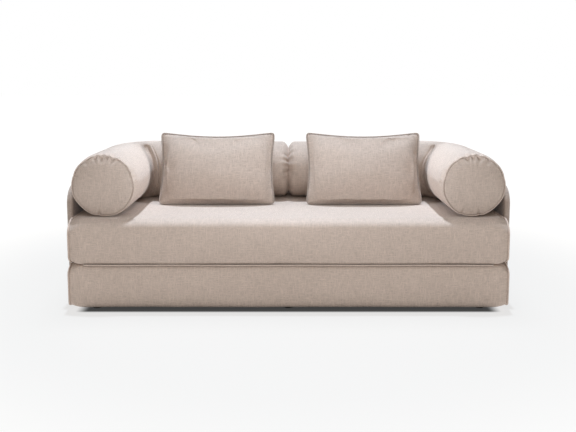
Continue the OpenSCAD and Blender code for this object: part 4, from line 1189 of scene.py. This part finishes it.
makeHingeTape(tapeForm, "lower", "base", tapeWeb, sewingThread)
makeHingeTape(tapeForm, "upper", "upper_layer", tapeWeb, sewingThread)
print("fold seam made")


# Zips: two tapes, a coil of two rows of turns, and on the upper layer a slider with its pull
zipForm = dict(gap=0.0012, thick=0.0006, coil=(0.0015, 0.0016, 0.0007, 0.00052), rowAt=0.0010, lift=0.0005,
               endIn=0.002, rowPoints=80, stations=120, slider=(0.011, 0.007, 0.0030), sliderIn=0.034,
               pull=(0.022, 0.0042, 0.0009), rail=0.0011, bevel=0.0006, fineBevel=0.0003)


def softBox(form, low, high, bevel):
    made = bmesh.ops.create_cube(form, size=1.0)["verts"]
    for point in made:
        point.co = [(a + b) / 2 + c * (b - a) for a, b, c in zip(low, high, point.co)]
    edges = list({edge for point in made for edge in point.link_edges})
    bmesh.ops.bevel(form, geom=edges, offset=bevel, segments=2, affect="EDGES")


def makeSlider(spec, name, at, wide, out, material):
    length, width, tall = spec["slider"]
    reach, broad, thin = spec["pull"]
    rail, bevel, fine = spec["rail"], spec["bevel"], spec["fineBevel"]
    half, start, foot = broad / 2, length * 0.8, tall * 0.86
    form = bmesh.new()
    for low, high, edge in (
            # two plates, the post between them and the bridge
            ((0, -width / 2, 0.0001), (length, width / 2, tall * 0.36), bevel),
            ((0.001, -width / 2, tall * 0.5), (length - 0.001, width / 2, tall * 0.8), bevel * 0.7),
            ((length * 0.72, -rail, 0.0004), (length * 0.95, rail, tall * 0.7), fine),
            ((length * 0.15, -0.0012, tall * 0.7), (length * 0.8, 0.0012, tall + 0.0006), 0.0004),
            # the pull: two rails, the loop's end and the grip
            ((start, -half, foot), (start + reach, rail - half, foot + thin), fine),
            ((start, half - rail, foot), (start + reach, half, foot + thin), fine),
            ((start, -half, foot), (start + 0.0012, half, foot + thin), fine),
            ((start + reach * 0.45, -half, foot), (start + reach, half, foot + thin), fine)):
        softBox(form, low, high, edge)
    for point in form.verts:
        along, across, up = point.co
        point.co = Vector(at) + Vector((along, 0, 0)) + across * Vector(wide) + up * Vector(out)
    bmesh.ops.recalc_face_normals(form, faces=form.faces)
    mesh = bpy.data.meshes.new(name)
    form.to_mesh(mesh)
    form.free()
    fitOut(addObject(name, mesh), material, "upper_layer", "steel")


def makeZip(spec, name, node, body, faceAt, wide, out):
    low, high = (np.array(p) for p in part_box(node))
    wide, out = np.array(wide, float), np.array(out, float)
    start = (low + high) / 2 * np.abs(wide) + faceAt * np.abs(out)
    start[0] = low[0]
    length, half = high[0] - low[0], ((high - low) @ np.abs(wide) - spec["gap"]) / 2
    tapes = [strip(name + "Tape", start + wide * v, length, wide, out, half, spec["thick"], spec["stations"])
             for v in (spec["gap"] / 2, -spec["gap"] / 2 - half)]
    fitOut(joinPieces(name + "Tape", tapes), tapeWeb, body, "zip_tape", node)
    x = np.linspace(spec["endIn"], length - spec["endIn"], spec["rowPoints"])
    pitch, across, tall, along = spec["coil"]
    lines = [start + np.outer(x + shift, (1, 0, 0)) + wide * v + out * (spec["thick"] + spec["lift"])
             for v, shift in ((-spec["rowAt"], 0.0), (spec["rowAt"], pitch / 2))]
    sizes = (pitch, across, tall, along) if abs(wide[1]) > 0.5 else (pitch, tall, across, along)
    fitOut(makeRow(name + "Coil", lines, sizes, zipCoil), None, body, "zip_tape")
    return start, length


face, upright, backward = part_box("upper_cover")[1][1] + 0.0002, (0, 0, 1), (0, 1, 0)
start, length = makeZip(zipForm, "upperZip", "upper_zip", "upper_layer", face, upright, backward)
makeSlider(zipForm, "upperZipSlider", start + (length - zipForm["sliderIn"], zipForm["thick"] + 0.0002, 0),
           upright, backward, steel)
for side in ("left", "right"):
    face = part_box(side + "_roll_zip")[1][2] - 0.0008
    makeZip(zipForm, side + "RollZip", side + "_roll_zip", side + "_roll", face, (0, 1, 0), (0, 0, -1))
print("zips made")
